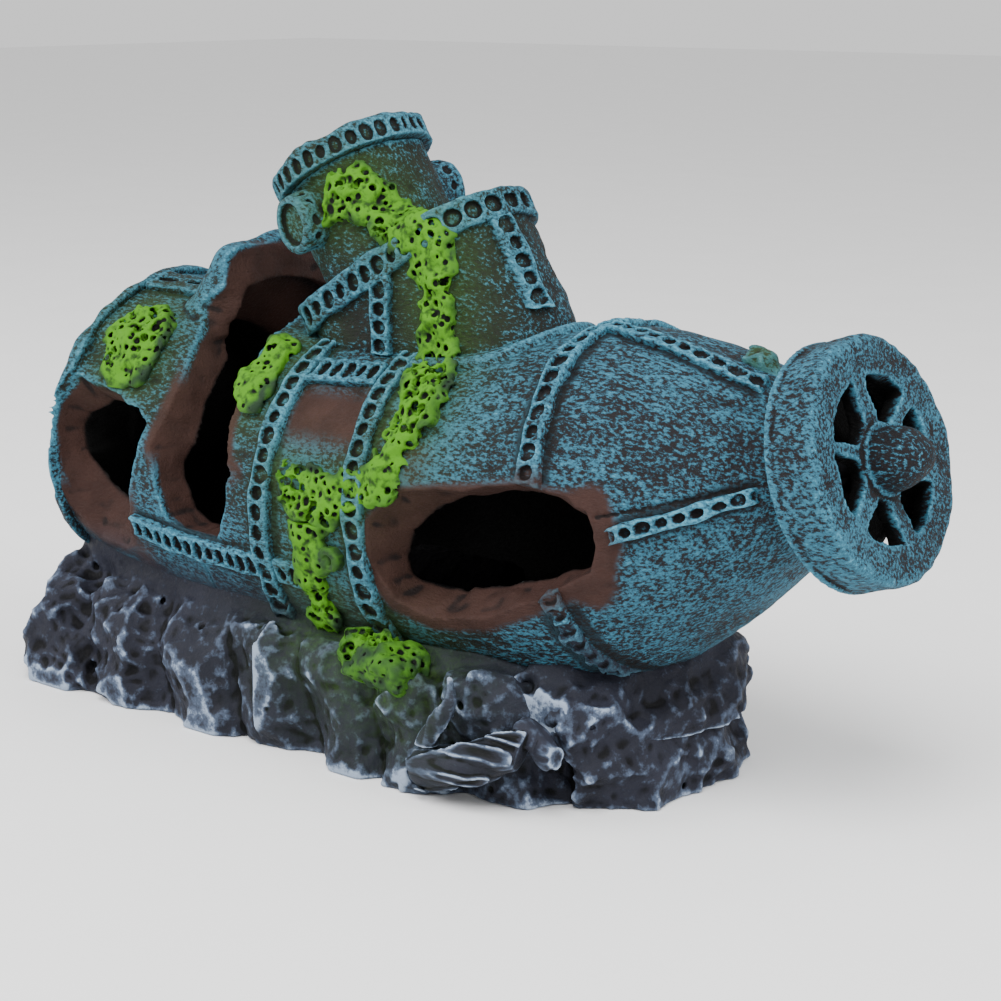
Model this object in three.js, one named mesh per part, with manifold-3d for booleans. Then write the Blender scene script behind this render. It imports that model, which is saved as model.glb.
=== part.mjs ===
// Sunken submarine wreck ornament that bubbles, for an aquarium.
// Millimetres, +Z up. X runs from the bow (-X) to the propeller (+X), the wrecked side faces -Y.
// z = 0 is the flat underside of the rock base, and the origin lies under the middle of the hull.
import * as THREE from 'three';
import { mergeVertices } from 'three/addons/utils/BufferGeometryUtils.js';
import Module from 'manifold-3d';

const wasm = await Module();
wasm.setup();

// ---------------------------------------------------------------- driving dimensions
const GAP = 0.3;                  // glue line or running gap between neighbouring pieces

const HULL_RADIUS = 28;
const HULL_WALL = 6.5;
const HULL_BOW = -85.5;           // station of the bow rim
const BOW_DOME = 3;               // how far the end cap bulges past the rim
const BOW_RADIUS = 26.5;          // the bow draws in slightly over its first stretch
const BOW_DRAW = 25;
const HULL_TAIL = 66;             // station where the tail cone ends
const KEEL_DEPTH = 1.1;           // the lower half of the section is a little deeper
const KEEL_FADE_FROM = 20;        // and gets shallower than round towards the tail
const KEEL_FADE = 0.0095;
const TAPER_FROM = 27;            // station where the hull starts to taper
const TAPER_RATE = 0.0285;        // radians of cosine taper per millimetre
const KEEL_STATION = -24;         // lowest point of the bent hull axis
const KEEL_HEIGHT = 42.5;
const AXIS_BEND = 0.0018;         // the axis rises as AXIS_BEND * distance squared
const MAIN_BREACH = { x: 21, z: 45, halfX: 18, halfZ: 8.6 };
const BOW_BREACH = { x: -72, z: 44, halfX: 9.5, halfZ: 9 };
const LIP_RISE = 11.5;            // the torn plate curls up over the bow edge of the break
const SPLIT_BOW = -46;            // where the bow casting meets the middle one
const SECTION_SIDES = 32;
const STATION_STEP = 6.5;         // spacing of the hull's cross sections
const TAIL_WALL = 5;              // thickness of the closed tail end

const BAND_WIDTH = 5.4;
const BAND_HEIGHT = 1.1;
const BAND_FLOOR = 21;            // the bands die into the rock at this height
const BANDS = {
  bow_rim: { station: -84.1, width: 2.6 },
  fore: { station: -29, width: BAND_WIDTH },
  middle: { station: -7.3, width: BAND_WIDTH },
  stern: { station: 29.8, width: BAND_WIDTH },
};
// Straps along the hull: stations, angle from the top towards port, and yaw across the skin.
const STRAPS = {
  waterline_strap: { from: -62, to: -32.1, degrees: 111, width: 4, yaw: 0 },
  waterline_strap_aft: { from: -25.9, to: -20.8, degrees: 111, width: 4, yaw: 0 },
  shoulder_strap: { from: -25.9, to: -10.4, degrees: 38.5, width: 4.4, yaw: 0 },
  stern_side_strap: { from: 44, to: 62, degrees: 93, width: 3.6, yaw: 0 },
  spine_strap: { from: 33, to: 60, degrees: 12, width: 4, yaw: -4.3 },
  bow_deck_strap: { from: -82.4, to: -71, degrees: 12, width: 6.4, yaw: 0 },
};
const PLATE = { station: -12.9, degrees: 102, radius: 2.5, height: 1.6 };
const FIN_OUTLINE = [[48, 58], [60, 58], [58, 70.5], [54, 74.5], [48, 75]];
const FIN_THICKNESS = 4;

const TOWER_RAKE = THREE.MathUtils.degToRad(31);
const TOWER_AFT_TIP = new THREE.Vector3(0.2, 0, 95.7);
const CASEMATE_LENGTH = 47;
const CASEMATE_WIDTH = 24;
const CASEMATE_DEPTH = 34;
const POST_OFFSET = -3.2;         // the stern post strap sits just to port of the centre line
const POST_BOTTOM = -19;          // how far the tower straps reach below the deck
const SIDE_STRAP_X = -15.5;
const FLANGE_REACH = 3;
const FLANGE_HEIGHT = 1.5;
const TURRET_FROM_TIP = 27.5;     // along the deck, tip to turret axis
const TURRET_RADIUS = 12.5;
const TURRET_HEIGHT = 17.5;
const LID_RADIUS = 14.6;
const LID_HEIGHT = 4.5;
const PORTHOLE_RADIUS = 5.3;
const PORTHOLE_LENGTH = 4;
const PORTHOLE_ABOVE_DECK = 11;
const PORTHOLE_SINK = 2;          // depth of the seat it is glued into
const GLASS_RADIUS = 3.6;
const GLASS_DEPTH = 1.2;

const WHEEL_CENTRE = new THREE.Vector3(74.6, 0, 60.3);
const WHEEL_PITCH = THREE.MathUtils.degToRad(17);
const WHEEL_RADIUS = 19.2;
const WHEEL_DEPTH = 9;
const WHEEL_OPENING = 13.4;
const SHROUD_BORE = 16;
const SPOKE_COUNT = 6;
const SPOKE_WIDTH = 3.2;
const SPOKE_TURN = THREE.MathUtils.degToRad(10);   // how far the first spoke stands from upright
const WEB_DEPTH = 3.6;
const HUB_RADIUS = 5;
const SPINNER_LENGTH = 7.5;
const SHAFT_RADIUS = 1.6;
const SHAFT_LENGTH = 14;
const SHAFT_SINK = 2;             // the shaft ends this far behind the front face
const BUSH_RADIUS = 4.4;
const BUSH_LENGTH = 5;

const BASE = { x: -30, y: 1.5, halfLength: 73, halfWidth: 31, deck: 12, shoulder: 20, inset: 5 };
const LUMP_TOP = 40.5;            // the bow lump is cut off level at this height
const BOW_LUMP = { at: [-85, 2, 4], radii: [16, 27, 20] };
const STERN_LUMP = { at: [25, 5, 12], radii: [19, 25, 16] };
const LOG_ROUTE = [[9, -29.5, 5], [18, -30, 8], [29, -26.5, 12.5]];
const LOG_RADIUS = 4;
const TWIG_ROUTE = [[11, -30.5, 12.5], [14.5, -30, 15], [16, -27.5, 19]];
const TWIG_RADIUS = 1.8;

const MOSS_LIFT = 1.4;            // height of the middle of a moss run over the skin
const DRAPE_RADIUS = 3.6;
const STRIP_RADIUS = 3.2;
const CLUMP = { at: [-4, -25, 20], radii: [7, 4.8, 4.8] };
const MOSS_PATCHES = {
  moss_bow_patch: { station: -71, degrees: 46, size: 8 },
  moss_breach_patch: { station: -36.5, degrees: 43, size: 6.4 },
};

const STONE_RADIUS = 5;
const STONE_LENGTH = 22;
const STONE_FROM = new THREE.Vector3(-22, 3, 26.5);
const NIPPLE = { radius: 1.3, length: 2 };
const TUBE_RADIUS = 2.5;
const TUBE_DROP = new THREE.Vector2(14, 11);   // where the tube passes down through the hull floor
const TUBE_ROUTE = [
  [2.5, 3, 26.5], [8, 4.5, 26.5], [12.5, 9, 24], [TUBE_DROP.x, TUBE_DROP.y, 19],
  [TUBE_DROP.x, TUBE_DROP.y, 11], [TUBE_DROP.x, 14, 6.2], [TUBE_DROP.x, 19, 5], [TUBE_DROP.x, 23.5, 5],
];
const CHANNEL = { width: 7, height: 9 };

const BEYOND = 240;               // longer than the whole ornament, for the cutting blocks

// ---------------------------------------------------------------- finishes
function finish(color, roughness, metalness = 0) {
  return new THREE.MeshStandardMaterial({ color, roughness, metalness });
}
const HULL_PAINT = finish(0x4f7484, 0.75);
const BAND_PAINT = finish(0x5f93a8, 0.7);
const ROCK_PAINT = finish(0x3d3f4a, 0.85);
const WOOD_PAINT = finish(0x55565f, 0.85);
const MOSS_FLOCK = finish(0x6fb437, 0.9);
const SHAFT_PLASTIC = finish(0x2b2c2e, 0.5);
const TUBE_PLASTIC = finish(0x9aa5a3, 0.4);
const STONE_GRIT = finish(0x4a6f95, 0.95);

// ---------------------------------------------------------------- solids
const ornament = new THREE.Group();

function signedVolume(positions, indices) {
  const a = new THREE.Vector3();
  const b = new THREE.Vector3();
  const c = new THREE.Vector3();
  let volume = 0;
  for (let i = 0; i < indices.length; i += 3) {
    a.fromArray(positions, indices[i] * 3);
    b.fromArray(positions, indices[i + 1] * 3);
    c.fromArray(positions, indices[i + 2] * 3);
    volume += a.dot(b.cross(c)) / 6;
  }
  return volume;
}

// A closed geometry as a solid, with its faces turned outwards.
function solid(geometry) {
  const bare = geometry.clone();
  bare.deleteAttribute('normal');
  bare.deleteAttribute('uv');
  const merged = mergeVertices(bare, 1e-4);
  const vertProperties = new Float32Array(merged.attributes.position.array);
  const kept = [];
  const index = merged.index.array;
  for (let i = 0; i < index.length; i += 3) {
    const [a, b, c] = [index[i], index[i + 1], index[i + 2]];
    if (a !== b && b !== c && c !== a) kept.push(a, b, c);
  }
  const triVerts = new Uint32Array(kept);
  if (signedVolume(vertProperties, triVerts) < 0) triVerts.reverse();
  return new wasm.Manifold(new wasm.Mesh({ numProp: 3, vertProperties, triVerts }));
}

function geometryOf(body) {
  const mesh = body.getMesh();
  const geometry = new THREE.BufferGeometry();
  geometry.setAttribute('position', new THREE.BufferAttribute(new Float32Array(mesh.vertProperties), 3));
  geometry.setIndex(new THREE.BufferAttribute(new Uint32Array(mesh.triVerts), 1));
  return geometry;
}

// The largest separate piece of a cut solid, so that no sliver stays behind.
function largest(body) {
  const pieces = body.decompose();
  pieces.sort((a, b) => b.volume() - a.volume());
  return pieces[0];
}

function add(name, body, material) {
  const geometry = geometryOf(largest(body));
  geometry.computeVertexNormals();
  const mesh = new THREE.Mesh(geometry, material);
  mesh.name = name;
  ornament.add(mesh);
}

// A profile of [radius, height] pairs turned about an axis from `from` along `direction`.
function turned(profile, from, direction, sides = 24) {
  const points = profile.map(([radius, height]) => new THREE.Vector2(radius, height));
  const geometry = new THREE.LatheGeometry(points, sides);
  const turn = new THREE.Quaternion().setFromUnitVectors(new THREE.Vector3(0, 1, 0), direction);
  geometry.applyQuaternion(turn);
  geometry.translate(from.x, from.y, from.z);
  return solid(geometry);
}

function rod(radius, from, direction, length, sides = 20) {
  return turned([[0, 0], [radius, 0], [radius, length], [0, length]], from, direction, sides);
}

// A round tube or cord along a smooth curve through the given points.
function along(points, radius, steps, sides = 8) {
  const section = new THREE.Shape();
  for (let i = 0; i < sides; i += 1) {
    const angle = (i / sides) * Math.PI * 2;
    const [x, y] = [radius * Math.cos(angle), radius * Math.sin(angle)];
    if (i === 0) section.moveTo(x, y);
    else section.lineTo(x, y);
  }
  section.closePath();
  const path = new THREE.CatmullRomCurve3(points.map(([x, y, z]) => new THREE.Vector3(x, y, z)));
  return solid(new THREE.ExtrudeGeometry(section, { steps, extrudePath: path, bevelEnabled: false }));
}

function block(sizeX, sizeY, sizeZ, x, y, z) {
  const geometry = new THREE.BoxGeometry(sizeX, sizeY, sizeZ);
  geometry.translate(x, y, z);
  return solid(geometry);
}

function boulder({ at, radii }, grow = 0) {
  const geometry = new THREE.SphereGeometry(1, 18, 12);
  geometry.scale(...radii.map((radius) => radius + grow));
  geometry.translate(...at);
  return solid(geometry);
}

// Everything below a height.
function below(height) {
  return block(BEYOND, BEYOND, height * 2, 0, 0, 0);
}

// ---------------------------------------------------------------- bent hull
function axisHeight(station) {
  return KEEL_HEIGHT + AXIS_BEND * (station - KEEL_STATION) ** 2;
}

function hullRadius(station) {
  if (station < HULL_BOW + BOW_DRAW) {
    const drawn = ((HULL_BOW + BOW_DRAW - station) / BOW_DRAW) ** 2;
    return HULL_RADIUS - (HULL_RADIUS - BOW_RADIUS) * drawn;
  }
  if (station < TAPER_FROM) return HULL_RADIUS;
  return HULL_RADIUS * Math.cos((station - TAPER_FROM) * TAPER_RATE);
}

function keelDepth(station) {
  return KEEL_DEPTH - Math.max(0, station - KEEL_FADE_FROM) * KEEL_FADE;
}

// Moves a shape built along a straight X axis onto the bent axis of the hull.
function bend(geometry) {
  const position = geometry.attributes.position;
  for (let i = 0; i < position.count; i += 1) {
    const station = position.getX(i);
    const slope = 2 * AXIS_BEND * (station - KEEL_STATION);
    const scale = 1 / Math.hypot(1, slope);
    const height = position.getZ(i) * (position.getZ(i) < 0 ? keelDepth(station) : 1);
    position.setX(i, station - slope * height * scale);
    position.setZ(i, axisHeight(station) + height * scale);
  }
  return geometry;
}

function stationsBetween(from, to, step) {
  const count = Math.max(1, Math.round((to - from) / step));
  return Array.from({ length: count + 1 }, (_, i) => from + ((to - from) * i) / count);
}

// Turns a straight hull profile of [radius, station] pairs about the X axis.
function straightHull(profile) {
  const points = profile.map(([radius, station]) => new THREE.Vector2(radius, station));
  const geometry = new THREE.LatheGeometry(points, SECTION_SIDES);
  geometry.rotateZ(-Math.PI / 2);
  return solid(geometry);
}

function bent(body) {
  return solid(bend(geometryOf(body)));
}

// A closed tapered plug of the hull between two stations, larger by `grow` all round.
function hullPlug(from, to, grow) {
  const outline = stationsBetween(from, to, STATION_STEP).map((s) => [hullRadius(s) + grow, s]);
  return straightHull([[0, from], ...outline, [0, to]]);
}

function hullShell(from, to) {
  const stations = stationsBetween(from, to, STATION_STEP);
  const outside = stations.map((s) => [hullRadius(s), s]);
  const inside = stations.map((s) => [hullRadius(s) - HULL_WALL, s]).reverse();
  return straightHull([...outside, ...inside, outside[0]]);
}

// A thin layer on the hull between two stations: the stock that bands and straps are cut from.
function hullLayer(from, to) {
  return hullPlug(from, to, GAP + BAND_HEIGHT).subtract(hullPlug(from - 1, to + 1, GAP));
}

// A closed ragged outline with `points` corners around an ellipse.
function raggedShape(halfX, halfY, points, roughness) {
  const shape = new THREE.Shape();
  for (let i = 0; i < points; i += 1) {
    const angle = (i / points) * Math.PI * 2;
    const reach = 1 + roughness * Math.sin(5 * angle + 1) + roughness * 0.6 * Math.sin(8 * angle);
    const [x, y] = [halfX * reach * Math.cos(angle), halfY * reach * Math.sin(angle)];
    if (i === 0) shape.moveTo(x, y);
    else shape.lineTo(x, y);
  }
  shape.closePath();
  return shape;
}

// A ragged hole cutter through the -Y side, wider on the outside so that the wall is bevelled.
function sideBreach({ x, z, halfX, halfZ }) {
  const inner = 12;
  const outer = 36;
  const flare = 1.25;
  const shape = raggedShape(halfX, halfZ, 18, 0.07);
  const geometry = new THREE.ExtrudeGeometry(shape, { depth: outer - inner, bevelEnabled: false });
  const position = geometry.attributes.position;
  for (let i = 0; i < position.count; i += 1) {
    if (position.getZ(i) > 1) {
      position.setX(i, position.getX(i) * flare);
      position.setY(i, position.getY(i) * flare);
    }
  }
  geometry.rotateX(Math.PI / 2);
  geometry.translate(x, -inner, z);
  return solid(geometry);
}

// The break right across the hull, open at the top and ending low on both sides.
function crossBreach() {
  const across = 80;
  const outline = new THREE.Shape();
  outline.moveTo(-54, 38);
  outline.lineTo(-49, 33);
  outline.lineTo(-43, 35);
  outline.lineTo(-40, 44);
  outline.lineTo(-38.5, 60);
  outline.lineTo(-40, 110);
  outline.lineTo(-53, 110);
  outline.lineTo(-55, 60);
  outline.closePath();
  const geometry = new THREE.ExtrudeGeometry(outline, { depth: across, bevelEnabled: false });
  geometry.rotateX(Math.PI / 2);
  geometry.translate(0, across / 2, 0);
  return solid(geometry);
}

// ---------------------------------------------------------------- tower frame
const deckAlong = new THREE.Vector3(Math.cos(TOWER_RAKE), 0, Math.sin(TOWER_RAKE));
const deckUp = new THREE.Vector3(-Math.sin(TOWER_RAKE), 0, Math.cos(TOWER_RAKE));

// A point given by its distance forward of the deck's aft tip, its offset in Y and height over the deck.
function towerPoint(forward, side, above) {
  return TOWER_AFT_TIP.clone()
    .addScaledVector(deckAlong, -forward)
    .addScaledVector(deckUp, above)
    .add(new THREE.Vector3(0, side, 0));
}

// The oblong casemate plan, larger by `grow`, standing from `bottom` to `top` over the deck.
function casematePrism(grow, bottom, top) {
  const half = CASEMATE_WIDTH / 2;
  const radius = half + grow;
  const plan = new THREE.Shape();
  plan.absarc(-half, 0, radius, -Math.PI / 2, Math.PI / 2, false);
  plan.absarc(-CASEMATE_LENGTH + half, 0, radius, Math.PI / 2, (Math.PI * 3) / 2, false);
  plan.closePath();
  const geometry = new THREE.ExtrudeGeometry(plan, {
    depth: top - bottom,
    bevelEnabled: false,
    curveSegments: 10,
  });
  geometry.translate(0, 0, bottom);
  geometry.rotateY(-TOWER_RAKE);
  geometry.translate(TOWER_AFT_TIP.x, 0, TOWER_AFT_TIP.z);
  return solid(geometry);
}

const turretFoot = towerPoint(TURRET_FROM_TIP, 0, GAP);
const portholes = {
  port: new THREE.Vector3(-0.26, -0.966, 0),
  starboard: new THREE.Vector3(0.3, 0.954, 0),
};

// Where a porthole tube leaves the turret axis, and its direction, for a heading in the deck plane.
function portholeAxis(heading) {
  const direction = deckAlong.clone().multiplyScalar(heading.x);
  direction.y = heading.y;
  return { from: towerPoint(TURRET_FROM_TIP, 0, PORTHOLE_ABOVE_DECK), direction: direction.normalize() };
}

// ---------------------------------------------------------------- rock, wood and moss stock
function baseSlab(shrink, bottom, top, taper) {
  const corners = 40;
  const bowSquareness = 0.55;
  const sternSquareness = 0.8;
  const shape = new THREE.Shape();
  for (let i = 0; i < corners; i += 1) {
    const angle = (i / corners) * Math.PI * 2;
    const [c, s] = [Math.cos(angle), Math.sin(angle)];
    const squareness = c > 0 ? sternSquareness : bowSquareness;
    const ragged = 1 + 0.02 * Math.sin(9 * angle) + 0.015 * Math.sin(14 * angle + 2);
    const x = (BASE.halfLength - shrink) * Math.sign(c) * Math.abs(c) ** bowSquareness * ragged;
    const y = (BASE.halfWidth - shrink) * Math.sign(s) * Math.abs(s) ** squareness * ragged;
    if (i === 0) shape.moveTo(x, y);
    else shape.lineTo(x, y);
  }
  shape.closePath();
  const geometry = new THREE.ExtrudeGeometry(shape, { depth: top - bottom, bevelEnabled: false });
  const position = geometry.attributes.position;
  for (let i = 0; i < position.count; i += 1) {
    if (position.getZ(i) > 1) {
      position.setX(i, position.getX(i) * taper);
      position.setY(i, position.getY(i) * taper);
    }
  }
  geometry.translate(BASE.x, BASE.y, bottom);
  return solid(geometry);
}

function hullPoint(station, degreesFromTop, lift) {
  const angle = THREE.MathUtils.degToRad(degreesFromTop);
  const radius = hullRadius(station) + lift;
  const point = new THREE.BufferGeometry();
  const local = new Float32Array([station, -radius * Math.sin(angle), radius * Math.cos(angle)]);
  point.setAttribute('position', new THREE.BufferAttribute(local, 3));
  return Array.from(bend(point).attributes.position.array);
}

const wheelAxis = new THREE.Vector3(Math.cos(WHEEL_PITCH), 0, Math.sin(WHEEL_PITCH));

// A point on the propeller's axis, measured sternwards from the front face of the wheel.
function wheelPoint(distance) {
  return WHEEL_CENTRE.clone().addScaledVector(wheelAxis, distance);
}

// ---------------------------------------------------------------- hull castings
function buildHull() {
  const wholeHull = bent(hullPlug(HULL_BOW, HULL_TAIL, GAP));
  const bowStations = stationsBetween(HULL_BOW, SPLIT_BOW - GAP, STATION_STEP);
  const bowOutside = bowStations.map((s) => [hullRadius(s), s]);
  const bowInside = bowStations.map((s) => [hullRadius(s) - HULL_WALL, s]).reverse();
  bowInside[bowInside.length - 1][1] += HULL_WALL;
  const bowProfile = [
    [0, HULL_BOW - BOW_DOME], [HULL_RADIUS * 0.55, HULL_BOW - BOW_DOME * 0.8],
    ...bowOutside, ...bowInside, [0, HULL_BOW + HULL_WALL],
  ];
  const lipRoot = HULL_RADIUS - 3;
  const lipTop = HULL_RADIUS + LIP_RISE;
  const lipProfile = [
    [lipRoot, -70], [lipTop - LIP_RISE * 0.3, -66], [lipTop, -60],
    [lipTop, -50], [lipRoot, -50], [lipRoot, -70],
  ];
  const lipPatch = block(60, 36, 60, -55, 4, 95);
  const lip = bent(straightHull(lipProfile)).intersect(lipPatch);
  const bow = bent(straightHull(bowProfile))
    .add(lip)
    .subtract(crossBreach())
    .subtract(sideBreach(BOW_BREACH));
  add('bow_hull_shell', bow, HULL_PAINT);

  const middle = bent(hullShell(SPLIT_BOW, TAPER_FROM - GAP))
    .subtract(crossBreach())
    .subtract(sideBreach(MAIN_BREACH))
    .subtract(along(TUBE_ROUTE, TUBE_RADIUS + GAP * 2, 30));
  add('middle_hull_shell', middle, HULL_PAINT);

  const tailStations = stationsBetween(TAPER_FROM, HULL_TAIL, STATION_STEP);
  const tailOutside = tailStations.map((s) => [hullRadius(s), s]);
  const tailInside = tailStations.slice(0, -1).map((s) => [hullRadius(s) - HULL_WALL, s]).reverse();
  const tailProfile = [
    ...tailOutside, [0, HULL_TAIL], [0, HULL_TAIL - TAIL_WALL], ...tailInside, tailOutside[0],
  ];
  const seatLength = 20;
  const bushSeat = rod(BUSH_RADIUS, wheelPoint(-WHEEL_DEPTH - seatLength / 2), wheelAxis, seatLength);
  const tail = bent(straightHull(tailProfile)).subtract(sideBreach(MAIN_BREACH)).subtract(bushSeat);
  add('stern_hull_cone', tail, HULL_PAINT);
  return wholeHull;
}

// What the rings round the hull may not run into.
function bandClearance(breaches) {
  const flange = FLANGE_REACH + GAP * 2 + 0.4;
  return below(BAND_FLOOR)
    .add(boulder(BOW_LUMP, GAP * 2))
    .add(boulder(STERN_LUMP, GAP * 2))
    .add(casematePrism(flange, -CASEMATE_DEPTH - 6, LID_HEIGHT))
    .add(breaches);
}

function buildBands() {
  const breaches = crossBreach().add(sideBreach(MAIN_BREACH)).add(sideBreach(BOW_BREACH));
  const clearance = bandClearance(breaches);
  const portSide = block(BEYOND, BEYOND, BEYOND, 0, -BEYOND / 2, 0);
  for (const [name, { station, width }] of Object.entries(BANDS)) {
    const band = bent(hullLayer(station - width / 2, station + width / 2)).subtract(clearance);
    if (station < HULL_BOW + BOW_DRAW || station > TAPER_FROM) {
      add(`${name}_band`, band, BAND_PAINT);
    } else {
      add(`${name}_band_port`, band.intersect(portSide), BAND_PAINT);
      add(`${name}_band_starboard`, band.subtract(portSide), BAND_PAINT);
    }
  }
  const overrun = 20;
  for (const [name, { from, to, degrees, width, yaw }] of Object.entries(STRAPS)) {
    const bar = new THREE.BoxGeometry(to - from + overrun, width, HULL_RADIUS * 2);
    bar.rotateZ(THREE.MathUtils.degToRad(yaw));
    bar.translate((from + to) / 2, 0, HULL_RADIUS);
    bar.rotateX(THREE.MathUtils.degToRad(degrees));
    const strap = bent(hullLayer(from, to).intersect(solid(bar)));
    add(name, strap.subtract(breaches), BAND_PAINT);
  }
}

function buildPlate() {
  const foot = new THREE.Vector3(...hullPoint(PLATE.station, PLATE.degrees, GAP));
  const over = new THREE.Vector3(...hullPoint(PLATE.station, PLATE.degrees, GAP + 1));
  const outward = over.sub(foot).normalize();
  const profile = [[0, 0], [PLATE.radius, 0], [PLATE.radius, PLATE.height], [0, PLATE.height]];
  add('bolt_plate', turned(profile, foot.addScaledVector(outward, GAP), outward, 4), BAND_PAINT);
}

function buildFin() {
  const outline = new THREE.Shape(FIN_OUTLINE.map(([x, z]) => new THREE.Vector2(x, z)));
  const geometry = new THREE.ExtrudeGeometry(outline, { depth: FIN_THICKNESS, bevelEnabled: false });
  geometry.rotateX(Math.PI / 2);
  geometry.translate(0, FIN_THICKNESS / 2, 0);
  const fin = solid(geometry).subtract(bent(hullPlug(TAPER_FROM, HULL_TAIL, GAP)));
  add('stern_fin', fin, HULL_PAINT);
}

// ---------------------------------------------------------------- conning tower
function buildCasemate(wholeHull) {
  const casemate = casematePrism(0, -CASEMATE_DEPTH, 0).subtract(wholeHull).subtract(crossBreach());
  add('casemate', casemate, HULL_PAINT);

  const inside = casematePrism(GAP, -CASEMATE_DEPTH - 6, 10);
  const hullSkin = bent(hullPlug(HULL_BOW, HULL_TAIL, GAP));
  const hullUnderBand = bent(hullPlug(HULL_BOW, HULL_TAIL, GAP * 2));
  const bandRing = casematePrism(GAP + BAND_HEIGHT, -BAND_WIDTH, 0).subtract(inside);
  add('casemate_deck_band', bandRing.subtract(hullUnderBand).subtract(crossBreach()), BAND_PAINT);

  const strapStock = casematePrism(GAP + BAND_HEIGHT, POST_BOTTOM, -BAND_WIDTH - GAP).subtract(inside);
  const postSlice = block(40, BAND_WIDTH, 60, TOWER_AFT_TIP.x + 10, POST_OFFSET, 85);
  add('casemate_stern_post', strapStock.intersect(postSlice).subtract(hullUnderBand), BAND_PAINT);

  const sideSlice = block(BAND_WIDTH, 40, 60, SIDE_STRAP_X, -20, 78);
  const hullUnderStrap = bent(hullPlug(HULL_BOW, HULL_TAIL, GAP * 2 + FLANGE_HEIGHT));
  add('casemate_side_strap', strapStock.intersect(sideSlice).subtract(hullUnderStrap), BAND_PAINT);

  const flange = casematePrism(FLANGE_REACH, -CASEMATE_DEPTH - 4, 0)
    .intersect(bent(hullPlug(SPLIT_BOW + 12, HULL_TAIL, GAP + FLANGE_HEIGHT)))
    .subtract(hullSkin)
    .subtract(casematePrism(GAP + BAND_HEIGHT + GAP, -CASEMATE_DEPTH - 6, 10))
    .subtract(crossBreach());
  add('casemate_foot_flange', flange, BAND_PAINT);
}

// A porthole tube with a sunken glass, and the turret with its seat cut out.
function buildPorthole(side, heading, turret) {
  const { from, direction } = portholeAxis(heading);
  const seatRadius = PORTHOLE_RADIUS + GAP;
  const seatFrom = from.clone().addScaledVector(direction, TURRET_RADIUS - PORTHOLE_SINK);
  const seat = rod(seatRadius, seatFrom, direction, 20, 16);
  const length = PORTHOLE_LENGTH + PORTHOLE_SINK;
  const tube = turned([
    [0, 0], [PORTHOLE_RADIUS, 0], [PORTHOLE_RADIUS, length],
    [GLASS_RADIUS, length], [GLASS_RADIUS, length - GLASS_DEPTH], [0, length - GLASS_DEPTH],
  ], seatFrom.clone().addScaledVector(direction, GAP), direction, 16);
  add(`${side}_porthole`, tube, BAND_PAINT);
  return turret.subtract(seat);
}

function buildTurret() {
  let turret = rod(TURRET_RADIUS, turretFoot, deckUp, TURRET_HEIGHT - GAP, 28);
  for (const [side, heading] of Object.entries(portholes)) {
    turret = buildPorthole(side, heading, turret);
  }
  add('fore_turret', turret, HULL_PAINT);

  const lidFoot = towerPoint(TURRET_FROM_TIP, 0, TURRET_HEIGHT + GAP);
  const lid = turned([
    [0, 0], [LID_RADIUS - 0.8, 0], [LID_RADIUS, 0.8], [LID_RADIUS, LID_HEIGHT - 1.2],
    [LID_RADIUS - 1.2, LID_HEIGHT - 0.2], [LID_RADIUS * 0.5, LID_HEIGHT + 0.4], [0, LID_HEIGHT + 0.6],
  ], lidFoot, deckUp, 28);
  add('turret_lid', lid, BAND_PAINT);
}

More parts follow.
